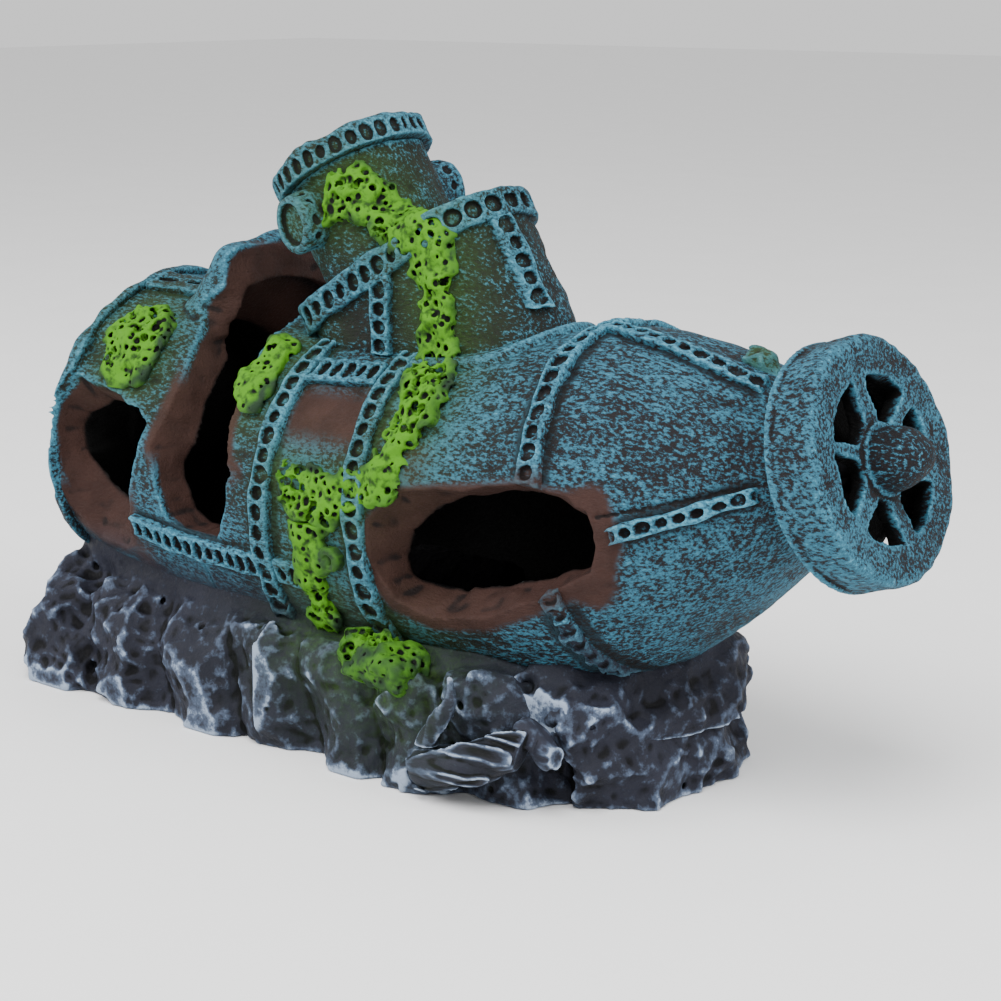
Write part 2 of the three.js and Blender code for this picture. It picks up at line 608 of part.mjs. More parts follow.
// ---------------------------------------------------------------- propeller
function buildPropeller() {
  const back = wheelPoint(-WHEEL_DEPTH);
  const rim = turned([
    [WHEEL_OPENING, WHEEL_DEPTH], [WHEEL_RADIUS - 1, WHEEL_DEPTH], [WHEEL_RADIUS, WHEEL_DEPTH - 1],
    [WHEEL_RADIUS, 1], [WHEEL_RADIUS - 1, 0], [SHROUD_BORE, 0], [SHROUD_BORE, 4],
    [WHEEL_OPENING, WHEEL_DEPTH - WEB_DEPTH], [WHEEL_OPENING, WHEEL_DEPTH],
  ], back, wheelAxis, 36);
  const web = wheelPoint(-WEB_DEPTH);
  let wheel = rim.add(rod(HUB_RADIUS, web, wheelAxis, WEB_DEPTH, 20));
  const turn = new THREE.Quaternion().setFromUnitVectors(new THREE.Vector3(1, 0, 0), wheelAxis);
  const spokeFrom = HUB_RADIUS * 0.6;
  const spokeLength = WHEEL_OPENING + 1.5 - spokeFrom;
  for (let i = 0; i < SPOKE_COUNT; i += 1) {
    const spoke = new THREE.BoxGeometry(WEB_DEPTH - 0.4, SPOKE_WIDTH, spokeLength);
    spoke.translate(-WEB_DEPTH / 2, 0, spokeFrom + spokeLength / 2);
    spoke.rotateX(SPOKE_TURN + (i / SPOKE_COUNT) * Math.PI * 2);
    spoke.applyQuaternion(turn);
    spoke.translate(WHEEL_CENTRE.x, WHEEL_CENTRE.y, WHEEL_CENTRE.z);
    wheel = wheel.add(solid(spoke));
  }
  const shaftSeat = rod(SHAFT_RADIUS + GAP, wheelPoint(-WEB_DEPTH - 1), wheelAxis,
    WEB_DEPTH - 1 + GAP);
  add('propeller_wheel', wheel.subtract(shaftSeat), HULL_PAINT);

  const spinnerFoot = wheelPoint(GAP);
  const spinner = turned([
    [0, 0], [HUB_RADIUS - 0.4, 0], [HUB_RADIUS - 0.6, SPINNER_LENGTH * 0.35],
    [HUB_RADIUS * 0.64, SPINNER_LENGTH * 0.72], [HUB_RADIUS * 0.28, SPINNER_LENGTH * 0.98],
    [0, SPINNER_LENGTH],
  ], spinnerFoot, wheelAxis, 20);
  add('propeller_spinner', spinner, BAND_PAINT);

  const shaftStart = wheelPoint(-SHAFT_SINK - SHAFT_LENGTH);
  add('propeller_shaft', rod(SHAFT_RADIUS, shaftStart, wheelAxis, SHAFT_LENGTH, 12), SHAFT_PLASTIC);

  const bushFoot = wheelPoint(-WHEEL_DEPTH - BUSH_LENGTH);
  const bore = SHAFT_RADIUS + GAP;
  const collar = BUSH_RADIUS - GAP;
  const bush = turned([
    [bore, 0], [collar, 0], [collar, BUSH_LENGTH], [bore, BUSH_LENGTH], [bore, 0],
  ], bushFoot, wheelAxis, 16);
  add('stern_bush', bush, SHAFT_PLASTIC);
}

// ---------------------------------------------------------------- rock base and driftwood
function buildBase() {
  const trough = bent(hullPlug(HULL_BOW - BOW_DOME - 1, HULL_TAIL, GAP));
  const logRoom = along(LOG_ROUTE, LOG_RADIUS + GAP, 6);
  const twigRoom = along(TWIG_ROUTE, TWIG_RADIUS + GAP, 6);
  const tubeRoom = along(TUBE_ROUTE, TUBE_RADIUS + GAP * 2, 30);
  const sternRock = boulder(STERN_LUMP)
    .subtract(below(BASE.deck + GAP))
    .subtract(trough)
    .subtract(logRoom)
    .subtract(tubeRoom);
  add('stern_boulder', sternRock, ROCK_PAINT);

  const channel = block(CHANNEL.width, 40, CHANNEL.height * 2, TUBE_DROP.x, TUBE_DROP.y + 17, 0);
  const boulderRoom = boulder(STERN_LUMP, GAP).subtract(below(BASE.deck));
  const rock = baseSlab(0, 0, BASE.deck, 0.97)
    .add(baseSlab(BASE.inset, BASE.deck - 1, BASE.shoulder, 0.95))
    .add(boulder(BOW_LUMP).intersect(block(BEYOND, BEYOND, LUMP_TOP, 0, 0, LUMP_TOP / 2)))
    .subtract(trough)
    .subtract(boulderRoom)
    .subtract(logRoom)
    .subtract(twigRoom)
    .subtract(channel)
    .subtract(tubeRoom);
  add('rock_base', rock, ROCK_PAINT);
}

function buildDriftwood() {
  const logRoom = along(LOG_ROUTE, LOG_RADIUS + GAP, 6);
  add('driftwood_log', along(LOG_ROUTE, LOG_RADIUS, 6), WOOD_PAINT);
  add('driftwood_twig', along(TWIG_ROUTE, TWIG_RADIUS, 6).subtract(logRoom), WOOD_PAINT);
}

// ---------------------------------------------------------------- moss
function buildMoss() {
  const underMoss = bent(hullPlug(HULL_BOW, HULL_TAIL, GAP * 2 + FLANGE_HEIGHT))
    .add(casematePrism(GAP * 2 + BAND_HEIGHT, -CASEMATE_DEPTH, GAP))
    .add(rod(TURRET_RADIUS + GAP, turretFoot, deckUp, TURRET_HEIGHT + 2, 28));
  const onHull = (station, degrees) => hullPoint(station, degrees, MOSS_LIFT);
  const onTower = (forward, out, above) => towerPoint(forward, -CASEMATE_WIDTH / 2 - out, above).toArray();
  const drape = along([
    onTower(20, -0.5, 13), onTower(13, 0.5, 2), onTower(8.5, 1, -4),
    onTower(10, 1.2, -12), onHull(2.3, 38), onHull(2.5, 55), onHull(-1.2, 75),
    onHull(-8, 81), onHull(-19, 83),
  ], DRAPE_RADIUS, 24);
  add('moss_drape', drape.subtract(underMoss), MOSS_FLOCK);

  const strip = along([onHull(-18, 96), onHull(-18, 108), onHull(-19, 124)], STRIP_RADIUS, 6);
  const [plateX, plateY, plateZ] = hullPoint(PLATE.station, PLATE.degrees, 0);
  const room = PLATE.radius + PLATE.height;
  const plateRoom = boulder({ at: [plateX, plateY, plateZ], radii: [room, room, room] });
  add('moss_strip', strip.subtract(underMoss).subtract(plateRoom), MOSS_FLOCK);

  const rockUnder = baseSlab(BASE.inset - GAP, 0, BASE.shoulder + GAP, 0.955);
  add('moss_clump', boulder(CLUMP).subtract(underMoss).subtract(rockUnder), MOSS_FLOCK);

  const mossTop = bent(hullPlug(HULL_BOW, HULL_TAIL, 4));
  for (const [name, { station, degrees, size }] of Object.entries(MOSS_PATCHES)) {
    const lump = boulder({ at: hullPoint(station, degrees, 1), radii: [size * 0.8, size, size] });
    add(name, lump.intersect(mossTop).subtract(underMoss).subtract(crossBreach()), MOSS_FLOCK);
  }
}

// ---------------------------------------------------------------- bubbler
function buildBubbler() {
  const alongX = new THREE.Vector3(1, 0, 0);
  const stone = turned([
    [0, 0], [STONE_RADIUS - 1, 0], [STONE_RADIUS, 1], [STONE_RADIUS, STONE_LENGTH - 1],
    [STONE_RADIUS - 1, STONE_LENGTH], [NIPPLE.radius, STONE_LENGTH],
    [NIPPLE.radius, STONE_LENGTH + NIPPLE.length], [0, STONE_LENGTH + NIPPLE.length],
  ], STONE_FROM, alongX, 20);
  add('air_stone', stone, STONE_GRIT);

  const cradleInside = bent(hullPlug(SPLIT_BOW + 1, TAPER_FROM, -HULL_WALL - GAP));
  const stoneRoomFrom = STONE_FROM.clone().addScaledVector(alongX, -1);
  const stoneRoom = rod(STONE_RADIUS + GAP, stoneRoomFrom, alongX, STONE_LENGTH + 8);
  const cradle = block(10, 12, 10, -11, STONE_FROM.y, 22).intersect(cradleInside).subtract(stoneRoom);
  add('air_stone_cradle', cradle, SHAFT_PLASTIC);

  add('air_tube', along(TUBE_ROUTE, TUBE_RADIUS, 30), TUBE_PLASTIC);

  const clipRoom = along(TUBE_ROUTE, TUBE_RADIUS + GAP, 30);
  const clip = block(3.4, 8, 10, 6.5, 4, 25).intersect(cradleInside).subtract(clipRoom);
  add('air_tube_clip', clip, SHAFT_PLASTIC);

  const tubeEnd = new THREE.Vector3(...TUBE_ROUTE.at(-1));
  const outward = new THREE.Vector3(0, 1, 0);
  const barb = turned([
    [0, 0], [TUBE_RADIUS, 0], [TUBE_RADIUS, 2], [1.6, 2], [1.6, 3], [2.3, 3], [1.6, 5], [2.3, 5],
    [1.6, 7], [0, 7],
  ], tubeEnd.addScaledVector(outward, GAP), outward, 16);
  add('air_inlet', barb, TUBE_PLASTIC);
}

const wholeHull = buildHull();
buildBands();
buildPlate();
buildFin();
buildCasemate(wholeHull);
buildTurret();
buildPropeller();
buildBase();
buildDriftwood();
buildMoss();
buildBubbler();

export default ornament;
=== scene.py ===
import math

import bpy
import numpy as np
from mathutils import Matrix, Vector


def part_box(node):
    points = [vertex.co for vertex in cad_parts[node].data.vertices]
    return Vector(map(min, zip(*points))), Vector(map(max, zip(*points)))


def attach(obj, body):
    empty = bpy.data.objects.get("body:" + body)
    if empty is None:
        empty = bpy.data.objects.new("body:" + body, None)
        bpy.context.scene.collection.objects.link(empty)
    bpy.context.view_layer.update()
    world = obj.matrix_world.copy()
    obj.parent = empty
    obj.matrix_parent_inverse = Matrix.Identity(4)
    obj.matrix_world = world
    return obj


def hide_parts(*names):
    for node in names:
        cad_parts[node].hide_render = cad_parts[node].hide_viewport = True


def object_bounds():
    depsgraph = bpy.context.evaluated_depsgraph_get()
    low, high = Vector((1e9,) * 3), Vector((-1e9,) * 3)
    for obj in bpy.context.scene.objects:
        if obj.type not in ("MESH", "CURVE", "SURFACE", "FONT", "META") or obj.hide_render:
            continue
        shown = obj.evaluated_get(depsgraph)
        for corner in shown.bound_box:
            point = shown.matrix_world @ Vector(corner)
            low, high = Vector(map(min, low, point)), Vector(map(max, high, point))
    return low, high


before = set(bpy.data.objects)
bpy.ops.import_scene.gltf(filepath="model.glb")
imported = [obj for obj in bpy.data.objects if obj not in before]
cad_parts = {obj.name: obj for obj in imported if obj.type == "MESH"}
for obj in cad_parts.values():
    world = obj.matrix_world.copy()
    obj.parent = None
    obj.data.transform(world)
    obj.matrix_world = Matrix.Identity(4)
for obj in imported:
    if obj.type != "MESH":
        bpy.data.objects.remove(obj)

import openvdb
from mathutils import Matrix, Vector

# Looks of the sunken submarine ornament. Shapes are distance fields worked out in millimetres,
# negative inside, that are turned into meshes and scaled to metres.
CAD_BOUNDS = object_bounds()
MM = 0.001

# ---------------------------------------------------------------- dimensions, in millimetres
HULL_RADIUS = 28.0
HULL_WALL = 6.5
HULL_BOW = -85.5                  # station of the bow face's edge
BOW_DOME = 3.0                    # how far the bow face bulges
BOW_RADIUS = 26.5
BOW_DRAW = 25.0                   # length over which the hull draws in to the bow
HULL_TAIL = 66.0
KEEL_DEPTH = 1.1                  # depth under the axis as a share of the radius
KEEL_FADE_FROM = 20.0
KEEL_FADE = 0.0095
TAPER_FROM = 27.0                 # station where the tail starts to taper
TAPER_RATE = 0.0285
KEEL_STATION = -24.0              # where the bent axis is lowest
KEEL_HEIGHT = 42.5
AXIS_BEND = 0.0018
LIP_RISE = 11.5                   # how far the torn lip curls up
SPLIT_BOW = -46.0                 # station between the bow and middle castings

BOW_RIM = -84.2                   # stations of the bands round the hull
FORE_BAND = -29.0
MIDDLE_BAND = -7.3
STERN_BAND = 29.8
BAND_WIDTH = 5.4
BAND_TOP = 1.4                    # height of a band over the plating
DIMPLE_PITCH = 3.2
DIMPLE_RADIUS = 1.35

TOWER_RAKE = math.radians(31)
TOWER_TIP = (0.2, 95.7)           # x and z of the aft edge of the deck
CASEMATE_LENGTH = 47.0
CASEMATE_HALF = 12.0              # half width, and the radius of its ends
POST_OFFSET = -3.2                # y of the stern post
SIDE_STRAP_X = -15.5
TURRET_FORWARD = 27.5             # from the deck's aft edge to the turret's axis
TURRET_RADIUS = 12.5
TURRET_HEIGHT = 17.5
LID_RADIUS = 14.6
LID_HEIGHT = 4.5
PORTHOLE_RADIUS = 5.3
PORTHOLE_ABOVE = 11.0             # height over the deck

WHEEL_CENTRE = (74.6, 0.0, 60.3)
WHEEL_PITCH = math.radians(17)
WHEEL_RADIUS = 19.2
WHEEL_DEPTH = 9.0
WHEEL_OPENING = 13.0              # radius that the windows reach out to
WINDOW_TURN = math.radians(20)    # how far the topmost window stands from upright
HUB_RADIUS = 5.6
SHROUD_BORE = 16.0
WEB_DEPTH = 3.6                   # thickness of the wheel's spokes
NOSE_RADIUS = 5.0
NOSE_LENGTH = 7.4

BASE_CENTRE = (-30.0, 1.5)
BASE_HALF = (73.0, 31.0)
BASE_SHOULDER = 20.0

INLET_X = 14                      # the air inlet and its tube at the base's rear edge
INLET_START = 23.8                # y where the barbed nipple starts

# Outlines of the breaches as x and z, where they break the plating and where they open inside.
MAIN_OUTSIDE = [(-5, 43.6), (-4.5, 36.4), (-1, 30.7), (5.4, 28.8), (16, 30.5), (26, 35), (33, 38.5),
                (38.8, 42.5), (40.3, 47.4), (38.5, 51.6), (34.5, 53.4), (26.4, 53.9), (18.5, 52.4),
                (9, 51), (1, 49.5)]
MAIN_INSIDE = [(-2, 37), (0.5, 42), (5, 46), (12, 49), (22, 51.5), (31, 51.5), (36, 49), (37.5, 46),
               (36, 42), (31, 40), (26, 38.1), (16.7, 35.5), (9, 33.1), (2, 32.6), (-1.5, 34)]
BOW_OUTSIDE = [(-78.9, 59.1), (-82, 56.6), (-84, 52.9), (-85.2, 48.6), (-85.8, 42.4), (-85.3, 36),
               (-83.5, 31.2), (-79.6, 28), (-72, 27.6), (-67, 29.5), (-63.8, 37.6), (-63, 41.4),
               (-60.6, 49.3), (-59.2, 52.9), (-61.7, 55.1), (-69.6, 57.1)]
BOW_INSIDE = [(-81.2, 51.3), (-83, 48), (-82.8, 44.2), (-78.4, 40.2), (-75.4, 37.8), (-71.9, 35.7),
              (-67, 37), (-64, 44), (-62, 50), (-64, 53), (-68, 53.8), (-75, 54), (-78, 52)]
CROSS_OUTSIDE = [(-54, 120), (-54, 76), (-58.9, 72.3), (-57.3, 68.6), (-54.4, 62.7), (-53.8, 58.8),
                 (-55.9, 52.4), (-56.6, 48.9), (-55.7, 44.7), (-55, 39.4), (-53.7, 36.9),
                 (-48.4, 35), (-41.4, 34.8), (-40.5, 36.3), (-38.5, 40.6), (-38.2, 45),
                 (-36.4, 47.2), (-38.7, 48.2), (-39.7, 53.8), (-39.4, 58), (-40.5, 63.9),
                 (-42.1, 68.8), (-43, 72), (-41, 120)]
CROSS_INSIDE = [(-52, 120), (-52, 72), (-56, 66), (-53.5, 62.4), (-52.5, 57.9), (-52.2, 52.2),
                (-51.9, 49.3), (-54, 46), (-54.6, 42.8), (-52.6, 37.6), (-49.9, 35), (-42, 35.5),
                (-40, 40), (-39, 50), (-40, 60), (-42, 68), (-43, 72), (-41, 120)]


# ---------------------------------------------------------------- distance fields
def box_limits(*nodes, margin=1.5):
    """Lowest and highest corner round some CAD nodes, in millimetres."""
    boxes = [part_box(node) for node in nodes]
    low = np.array([box[0] for box in boxes]).min(0) / MM - margin
    high = np.array([box[1] for box in boxes]).max(0) / MM + margin
    return low, high


class Field:
    """A block of evenly spaced points that a distance field is sampled on."""

    def __init__(self, low, high, voxel):
        self.voxel = voxel * 1.0
        self.first = np.floor(np.asarray(low) / self.voxel).astype(int)
        last = np.ceil(np.asarray(high) / self.voxel).astype(int)
        places = [
            (np.arange(start, end + 1) * self.voxel).astype(np.float32)
            for start, end in zip(self.first, last)
        ]
        self.x = places[0][:, None, None]
        self.y = places[1][None, :, None]
        self.z = places[2][None, None, :]
        self.axes = (self.x, self.y, self.z)
        self.shape = tuple(len(place) for place in places)


def around(*nodes, voxel, margin=1.5):
    return Field(*box_limits(*nodes, margin=margin), voxel)


def hashed(x, y, z, seed):
    """A repeatable value from -1 to 1 for each lattice point."""
    mixed = (x * 73856093) ^ (y * 19349663) ^ (z * 83492791) ^ (seed * 2654435)
    for _ in range(2):
        mixed = (mixed ^ (mixed >> 13)) * 1274126177 & 0xFFFFFFFF
    mixed ^= mixed >> 16
    return ((mixed & 0xFFFF) / 32767.5 - 1).astype(np.float32)


def spline_weights(places):
    """Cubic B-spline weights of evenly spaced lattice points, and the lattice points."""
    lattice = np.arange(int(np.floor(places.min())) - 1, int(np.floor(places.max())) + 3)
    away = np.abs(places[:, None] - lattice[None, :])
    near = (4 - 6 * away**2 + 3 * away**3) / 6
    far = np.maximum(2 - away, 0) ** 3 / 6
    return np.where(away < 1, near, far).astype(np.float32), lattice


def noise(field, size, seed):
    """Smooth noise of about -1 to 1, the same in every field, with lumps of that size."""
    sizes = (size, size, size) if np.isscalar(size) else size
    (wx, lx), (wy, ly), (wz, lz) = [
        spline_weights(axis.ravel() / length) for axis, length in zip(field.axes, sizes)
    ]
    values = hashed(lx[:, None, None], ly[None, :, None], lz[None, None, :], seed)
    values = np.tensordot(wx, values, (1, 0))
    values = np.tensordot(values, wy, (1, 1))
    values = np.tensordot(values, wz, (1, 1))
    spread = 2.6
    return values * spread


def ridged(field, size, seed):
    """Noise of 0 to 1 that peaks along thin winding ridges."""
    return 1 - np.minimum(np.abs(noise(field, size, seed)) * 1.6, 1)


def cells(field, pitch, seed):
    """Distance to the nearest of scattered points, about one to every pitch cubed."""
    steps = [np.floor(axis.ravel() / pitch).astype(int) for axis in field.axes]
    lattice = [np.arange(step.min() - 1, step.max() + 2) for step in steps]
    lx, ly, lz = lattice[0][:, None, None], lattice[1][None, :, None], lattice[2][None, None, :]
    centres = [
        ((place + 0.5 + 0.45 * hashed(lx, ly, lz, seed + axis)) * pitch).astype(np.float32)
        for axis, place in enumerate((lx, ly, lz))
    ]
    nearest = np.full(field.shape, (3 * pitch) ** 2, np.float32)
    for offset in np.ndindex(3, 3, 3):
        at = np.ix_(*[step - grid[0] + shift - 1 for step, grid, shift in zip(steps, lattice, offset)])
        away = sum((axis - centre[at]) ** 2 for axis, centre in zip(field.axes, centres))
        np.minimum(nearest, away, out=nearest)
    return np.sqrt(nearest)


def scallops(field, pitch, seed):
    """Hollows of about that size, 0 in the middle and 1 on the sharp ridges between them."""
    return np.clip(cells(field, pitch, seed) / (0.72 * pitch), 0, 1) ** 1.6


def most(*fields):
    """Intersection of shapes: the largest of several fields."""
    largest = fields[0]
    for other in fields[1:]:
        largest = np.maximum(largest, other)
    return largest


def least(*fields):
    """Union of shapes: the smallest of several fields."""
    smallest = fields[0]
    for other in fields[1:]:
        smallest = np.minimum(smallest, other)
    return smallest


def carved(shape, *holes):
    """The shape with the holes taken out of it."""
    return most(shape, *[-hole for hole in holes])


def smooth_step(value, low, high):
    share = np.clip((value - low) / (high - low), 0, 1)
    return share * share * (3 - 2 * share)


def joined(a, b, softness):
    """Union with a fillet of about that size."""
    share = np.clip(0.5 + 0.5 * (b - a) / softness, 0, 1)
    return b + (a - b) * share - softness * share * (1 - share)


def rounded_corner(side, top, rounding):
    """Corner between two faces, rounded over."""
    a, b = side + rounding, top + rounding
    return np.hypot(np.maximum(a, 0), np.maximum(b, 0)) + np.minimum(np.maximum(a, b), 0) - rounding


def rounded_slab(across, above, half_width, top, rounding):
    """Section of a strap: `across` from its middle, `above` the plating."""
    return rounded_corner(np.abs(across) - half_width, above - top, rounding)


def outline_distance(x, z, corners):
    """Signed distance to a closed outline of x and z corners, negative inside."""
    nearest = np.full(np.broadcast(x, z).shape, 1e9, np.float32)
    inside = np.zeros(nearest.shape, bool)
    for (ax, az), (bx, bz) in zip(corners, corners[1:] + corners[:1]):
        ex, ez = bx - ax, bz - az
        share = np.clip(((x - ax) * ex + (z - az) * ez) / (ex * ex + ez * ez), 0, 1)
        nearest = np.minimum(nearest, (x - ax - ex * share) ** 2 + (z - az - ez * share) ** 2)
        crosses = (az > z) != (bz > z)
        with np.errstate(divide="ignore", invalid="ignore"):
            inside ^= crosses & (x < ax + ex * (z - az) / (ez if ez else 1e-9))
    return np.where(inside, -1, 1) * np.sqrt(nearest)


def segment_distance(x, y, z, start, end):
    """Distance to a straight segment and the share of the way along it."""
    step = [b - a for a, b in zip(start, end)]
    offsets = [axis - a for axis, a in zip((x, y, z), start)]
    length_squared = sum(s * s for s in step)
    along = sum(offset * s for offset, s in zip(offsets, step))
    share = np.clip(along / length_squared, 0, 1)
    away = sum((offset - s * share) ** 2 for offset, s in zip(offsets, step))
    return np.sqrt(away), share


def route_distance(x, y, z, route):
    """Distance to a tapering route of (x, y, z, half width) points, less its half width."""
    nearest = None
    for (*start, wide), (*end, narrow) in zip(route, route[1:]):
        away, share = segment_distance(x, y, z, start, end)
        reach = away - (wide + (narrow - wide) * share)
        nearest = reach if nearest is None else np.minimum(nearest, reach)
    return nearest


def softened(values, steps):
    """The field smoothed by a small kernel, that many times."""
    for _ in range(steps):
        for axis in range(3):
            before = np.roll(values, 1, axis)
            after = np.roll(values, -1, axis)
            values = (before + 2 * values + after) / 4
    return values


def sampled(values, places):
    """Trilinear samples of a field at fractional index positions."""
    base = np.clip(np.floor(places).astype(int), 0, np.array(values.shape) - 2)
    share = places - base
    total = 0
    for corner in range(8):
        offset = np.array([corner & 1, corner >> 1 & 1, corner >> 2 & 1])
        weight = np.prod(np.where(offset, share, 1 - share), axis=1)
        at = base + offset
        total = total + weight * values[at[:, 0], at[:, 1], at[:, 2]]
    return total


# ---------------------------------------------------------------- meshes
def shell_labels(count, quads):
    """The lowest vertex number of the connected shell that each vertex is on."""
    first = quads.ravel()
    second = np.roll(quads, 1, axis=1).ravel()
    label = np.arange(count)
    while True:
        a, b = label[first], label[second]
        if (a == b).all():
            return label
        np.minimum.at(label, np.maximum(a, b), np.minimum(a, b))
        while (label[label] != label).any():
            label = label[label]


def without_crumbs(points, quads, share=0.02):
    """Drops loose shells that hold less than that share of the vertices."""
    label = shell_labels(len(points), quads)
    counts = np.bincount(label, minlength=len(points))
    kept = counts[label] >= share * len(points)
    number = np.cumsum(kept) - 1
    quads = quads[kept[quads].all(axis=1)]
    return points[kept], number[quads]


def surface(name, field, distance):
    """A mesh object where the distance is zero. Its attributes `edge`, for fine relief, and `swell`, for
    broad relief, are above 0 on ridges and below 0 in hollows."""
    limit = 3 * field.voxel
    distance = np.clip(np.broadcast_to(distance, field.shape), -limit, limit).astype(np.float32)
    inset = 0.02
    low = np.array(CAD_BOUNDS[0]) / MM + inset
    high = np.array(CAD_BOUNDS[1]) / MM - inset
    for place, lowest, highest in zip(field.axes, low, high):
        distance = most(distance, lowest - place, place - highest)
    distance = np.minimum(distance, limit).astype(np.float32)
    for axis in range(3):
        border = [slice(None)] * 3
        for side in (0, -1):
            border[axis] = side
            distance[tuple(border)] = limit
    grid = openvdb.FloatGrid(float(limit))
    grid.copyFromArray(distance)
    points, _, quads = grid.convertToPolygons(0.0, 0.0)
    points, quads = without_crumbs(points, quads.astype(np.int64))

    mesh = bpy.data.meshes.new(name)
    mesh.vertices.add(len(points))
    mesh.loops.add(quads.size)
    mesh.polygons.add(len(quads))
    places = (points + field.first) * field.voxel
    mesh.vertices.foreach_set("co", (places * MM).astype(np.float32).ravel())
    mesh.loops.foreach_set("vertex_index", quads.astype(np.int32).ravel())
    mesh.polygons.foreach_set("loop_start", np.arange(0, quads.size, 4, dtype=np.int32))
    mesh.polygons.foreach_set("use_smooth", np.ones(len(quads), bool))
    mesh.update(calc_edges=True)
    mesh.validate()
    fine_rounds, fine_gain, broad_rounds = 3, 2.2, 10
    fine = sampled(softened(distance, fine_rounds), points) / field.voxel
    broad = sampled(softened(distance, broad_rounds), points) / field.voxel
    set_attribute(mesh, "edge", fine * fine_gain)
    set_attribute(mesh, "swell", broad)
    piece = bpy.data.objects.new(name, mesh)
    bpy.context.scene.collection.objects.link(piece)
    return piece


def set_attribute(mesh, name, values):
    attribute = mesh.attributes.get(name) or mesh.attributes.new(name, "FLOAT", "POINT")
    values = np.broadcast_to(values, (len(mesh.vertices),))
    attribute.data.foreach_set("value", np.ascontiguousarray(values, np.float32))


def vertex_places(mesh):
    places = np.empty(len(mesh.vertices) * 3, np.float32)
    mesh.vertices.foreach_get("co", places)
    return places.reshape(-1, 3).T / MM


def build_piece(name, field, distance, material, nodes, paint=None, body="wreck"):
    """A visible piece for some CAD nodes. The paint function sets its attributes."""
    piece = surface(name, field, distance)
    if paint:
        paint(piece.data)
    piece.data.materials.append(material)
    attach(piece, body)
    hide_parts(*nodes)


# ---------------------------------------------------------------- hull frame
def axis_height(station):
    return KEEL_HEIGHT + AXIS_BEND * (station - KEEL_STATION) ** 2


def axis_slope(station):
    return 2 * AXIS_BEND * (station - KEEL_STATION)


def keel_share(station):
    """How much deeper the hull is under its axis than it is high over it."""
    return KEEL_DEPTH - np.maximum(station - KEEL_FADE_FROM, 0) * KEEL_FADE


def hull_radius(station):
    drawn = np.maximum(HULL_BOW + BOW_DRAW - station, 0) / BOW_DRAW
    taper = np.clip(station - TAPER_FROM, 0, HULL_TAIL + 2 - TAPER_FROM) * TAPER_RATE
    return (HULL_RADIUS - (HULL_RADIUS - BOW_RADIUS) * drawn**2) * np.cos(taper)


class HullPlace:
    """Station along the bent axis, distance from it and angle from the top towards -Y."""

    def __init__(self, x, y, z):
        station = x + 0 * z
        for _ in range(4):
            station = x + axis_slope(station) * (z - axis_height(station))
        scale = 1 / np.hypot(1, axis_slope(station))
        height = (z - axis_height(station)) / scale
        height = np.where(height < 0, height / keel_share(station), height)
        self.station = station
        self.radius = np.hypot(y, height)
        self.angle = np.degrees(np.arctan2(-y + 0 * height, height + 0 * y))
        self.skin = self.radius - hull_radius(station)


def hull_point(station, angle, lift=0.0):
    """x, y, z of a point on the plating, by station and degrees from the top towards -Y."""
    radius = hull_radius(station) + lift
    turn = math.radians(angle)
    height = radius * math.cos(turn)
    if height < 0:
        height *= keel_share(station)
    slope = axis_slope(station)
    scale = 1 / math.hypot(1, slope)
    return (
        station - slope * height * scale,
        -radius * math.sin(turn),
        axis_height(station) + height * scale,
    )


def field_hull(field):
    return HullPlace(*field.axes)


# ---------------------------------------------------------------- tower frame
def tower_place(x, z):
    """Distance forward of the deck's aft tip and height over the deck."""
    dx, dz = x - TOWER_TIP[0], z - TOWER_TIP[1]
    forward = -(dx * math.cos(TOWER_RAKE) + dz * math.sin(TOWER_RAKE))
    above = -dx * math.sin(TOWER_RAKE) + dz * math.cos(TOWER_RAKE)
    return forward, above


def tower_point(forward, side, above):
    x = TOWER_TIP[0] - forward * math.cos(TOWER_RAKE) - above * math.sin(TOWER_RAKE)
    z = TOWER_TIP[1] - forward * math.sin(TOWER_RAKE) + above * math.cos(TOWER_RAKE)
    return x, side, z


def casemate_plan(forward, y):
    """Distance outside the oblong plan, and the distance along its rim from the middle of a side."""
    half = CASEMATE_LENGTH / 2
    straight = half - CASEMATE_HALF
    past = np.abs(forward - half) - straight
    outside = np.hypot(np.maximum(past, 0), y) - CASEMATE_HALF
    turned = np.arctan2(np.maximum(past, 0), np.abs(y)) * CASEMATE_HALF
    rim = np.where(past > 0, straight + turned, np.abs(forward - half) + 0 * y)
    return outside, rim


def tower_frame(field):
    """Height over the deck, distance outside the casemate's plan and distance along its rim."""
    forward, above = tower_place(field.x, field.z)
    return (above, *casemate_plan(forward, field.y))


def turret_frame(field):
    """Distance ahead of the turret's axis, distance from the axis and height over the deck."""
    forward, above = tower_place(field.x, field.z)
    ahead = forward - TURRET_FORWARD
    return ahead, np.hypot(ahead, field.y), above


# ---------------------------------------------------------------- moss runs, as x, y, z, half width
def on_hull(*runs):
    above_skin = 0.8
    return [(*hull_point(station, angle, above_skin), width) for station, angle, width in runs]


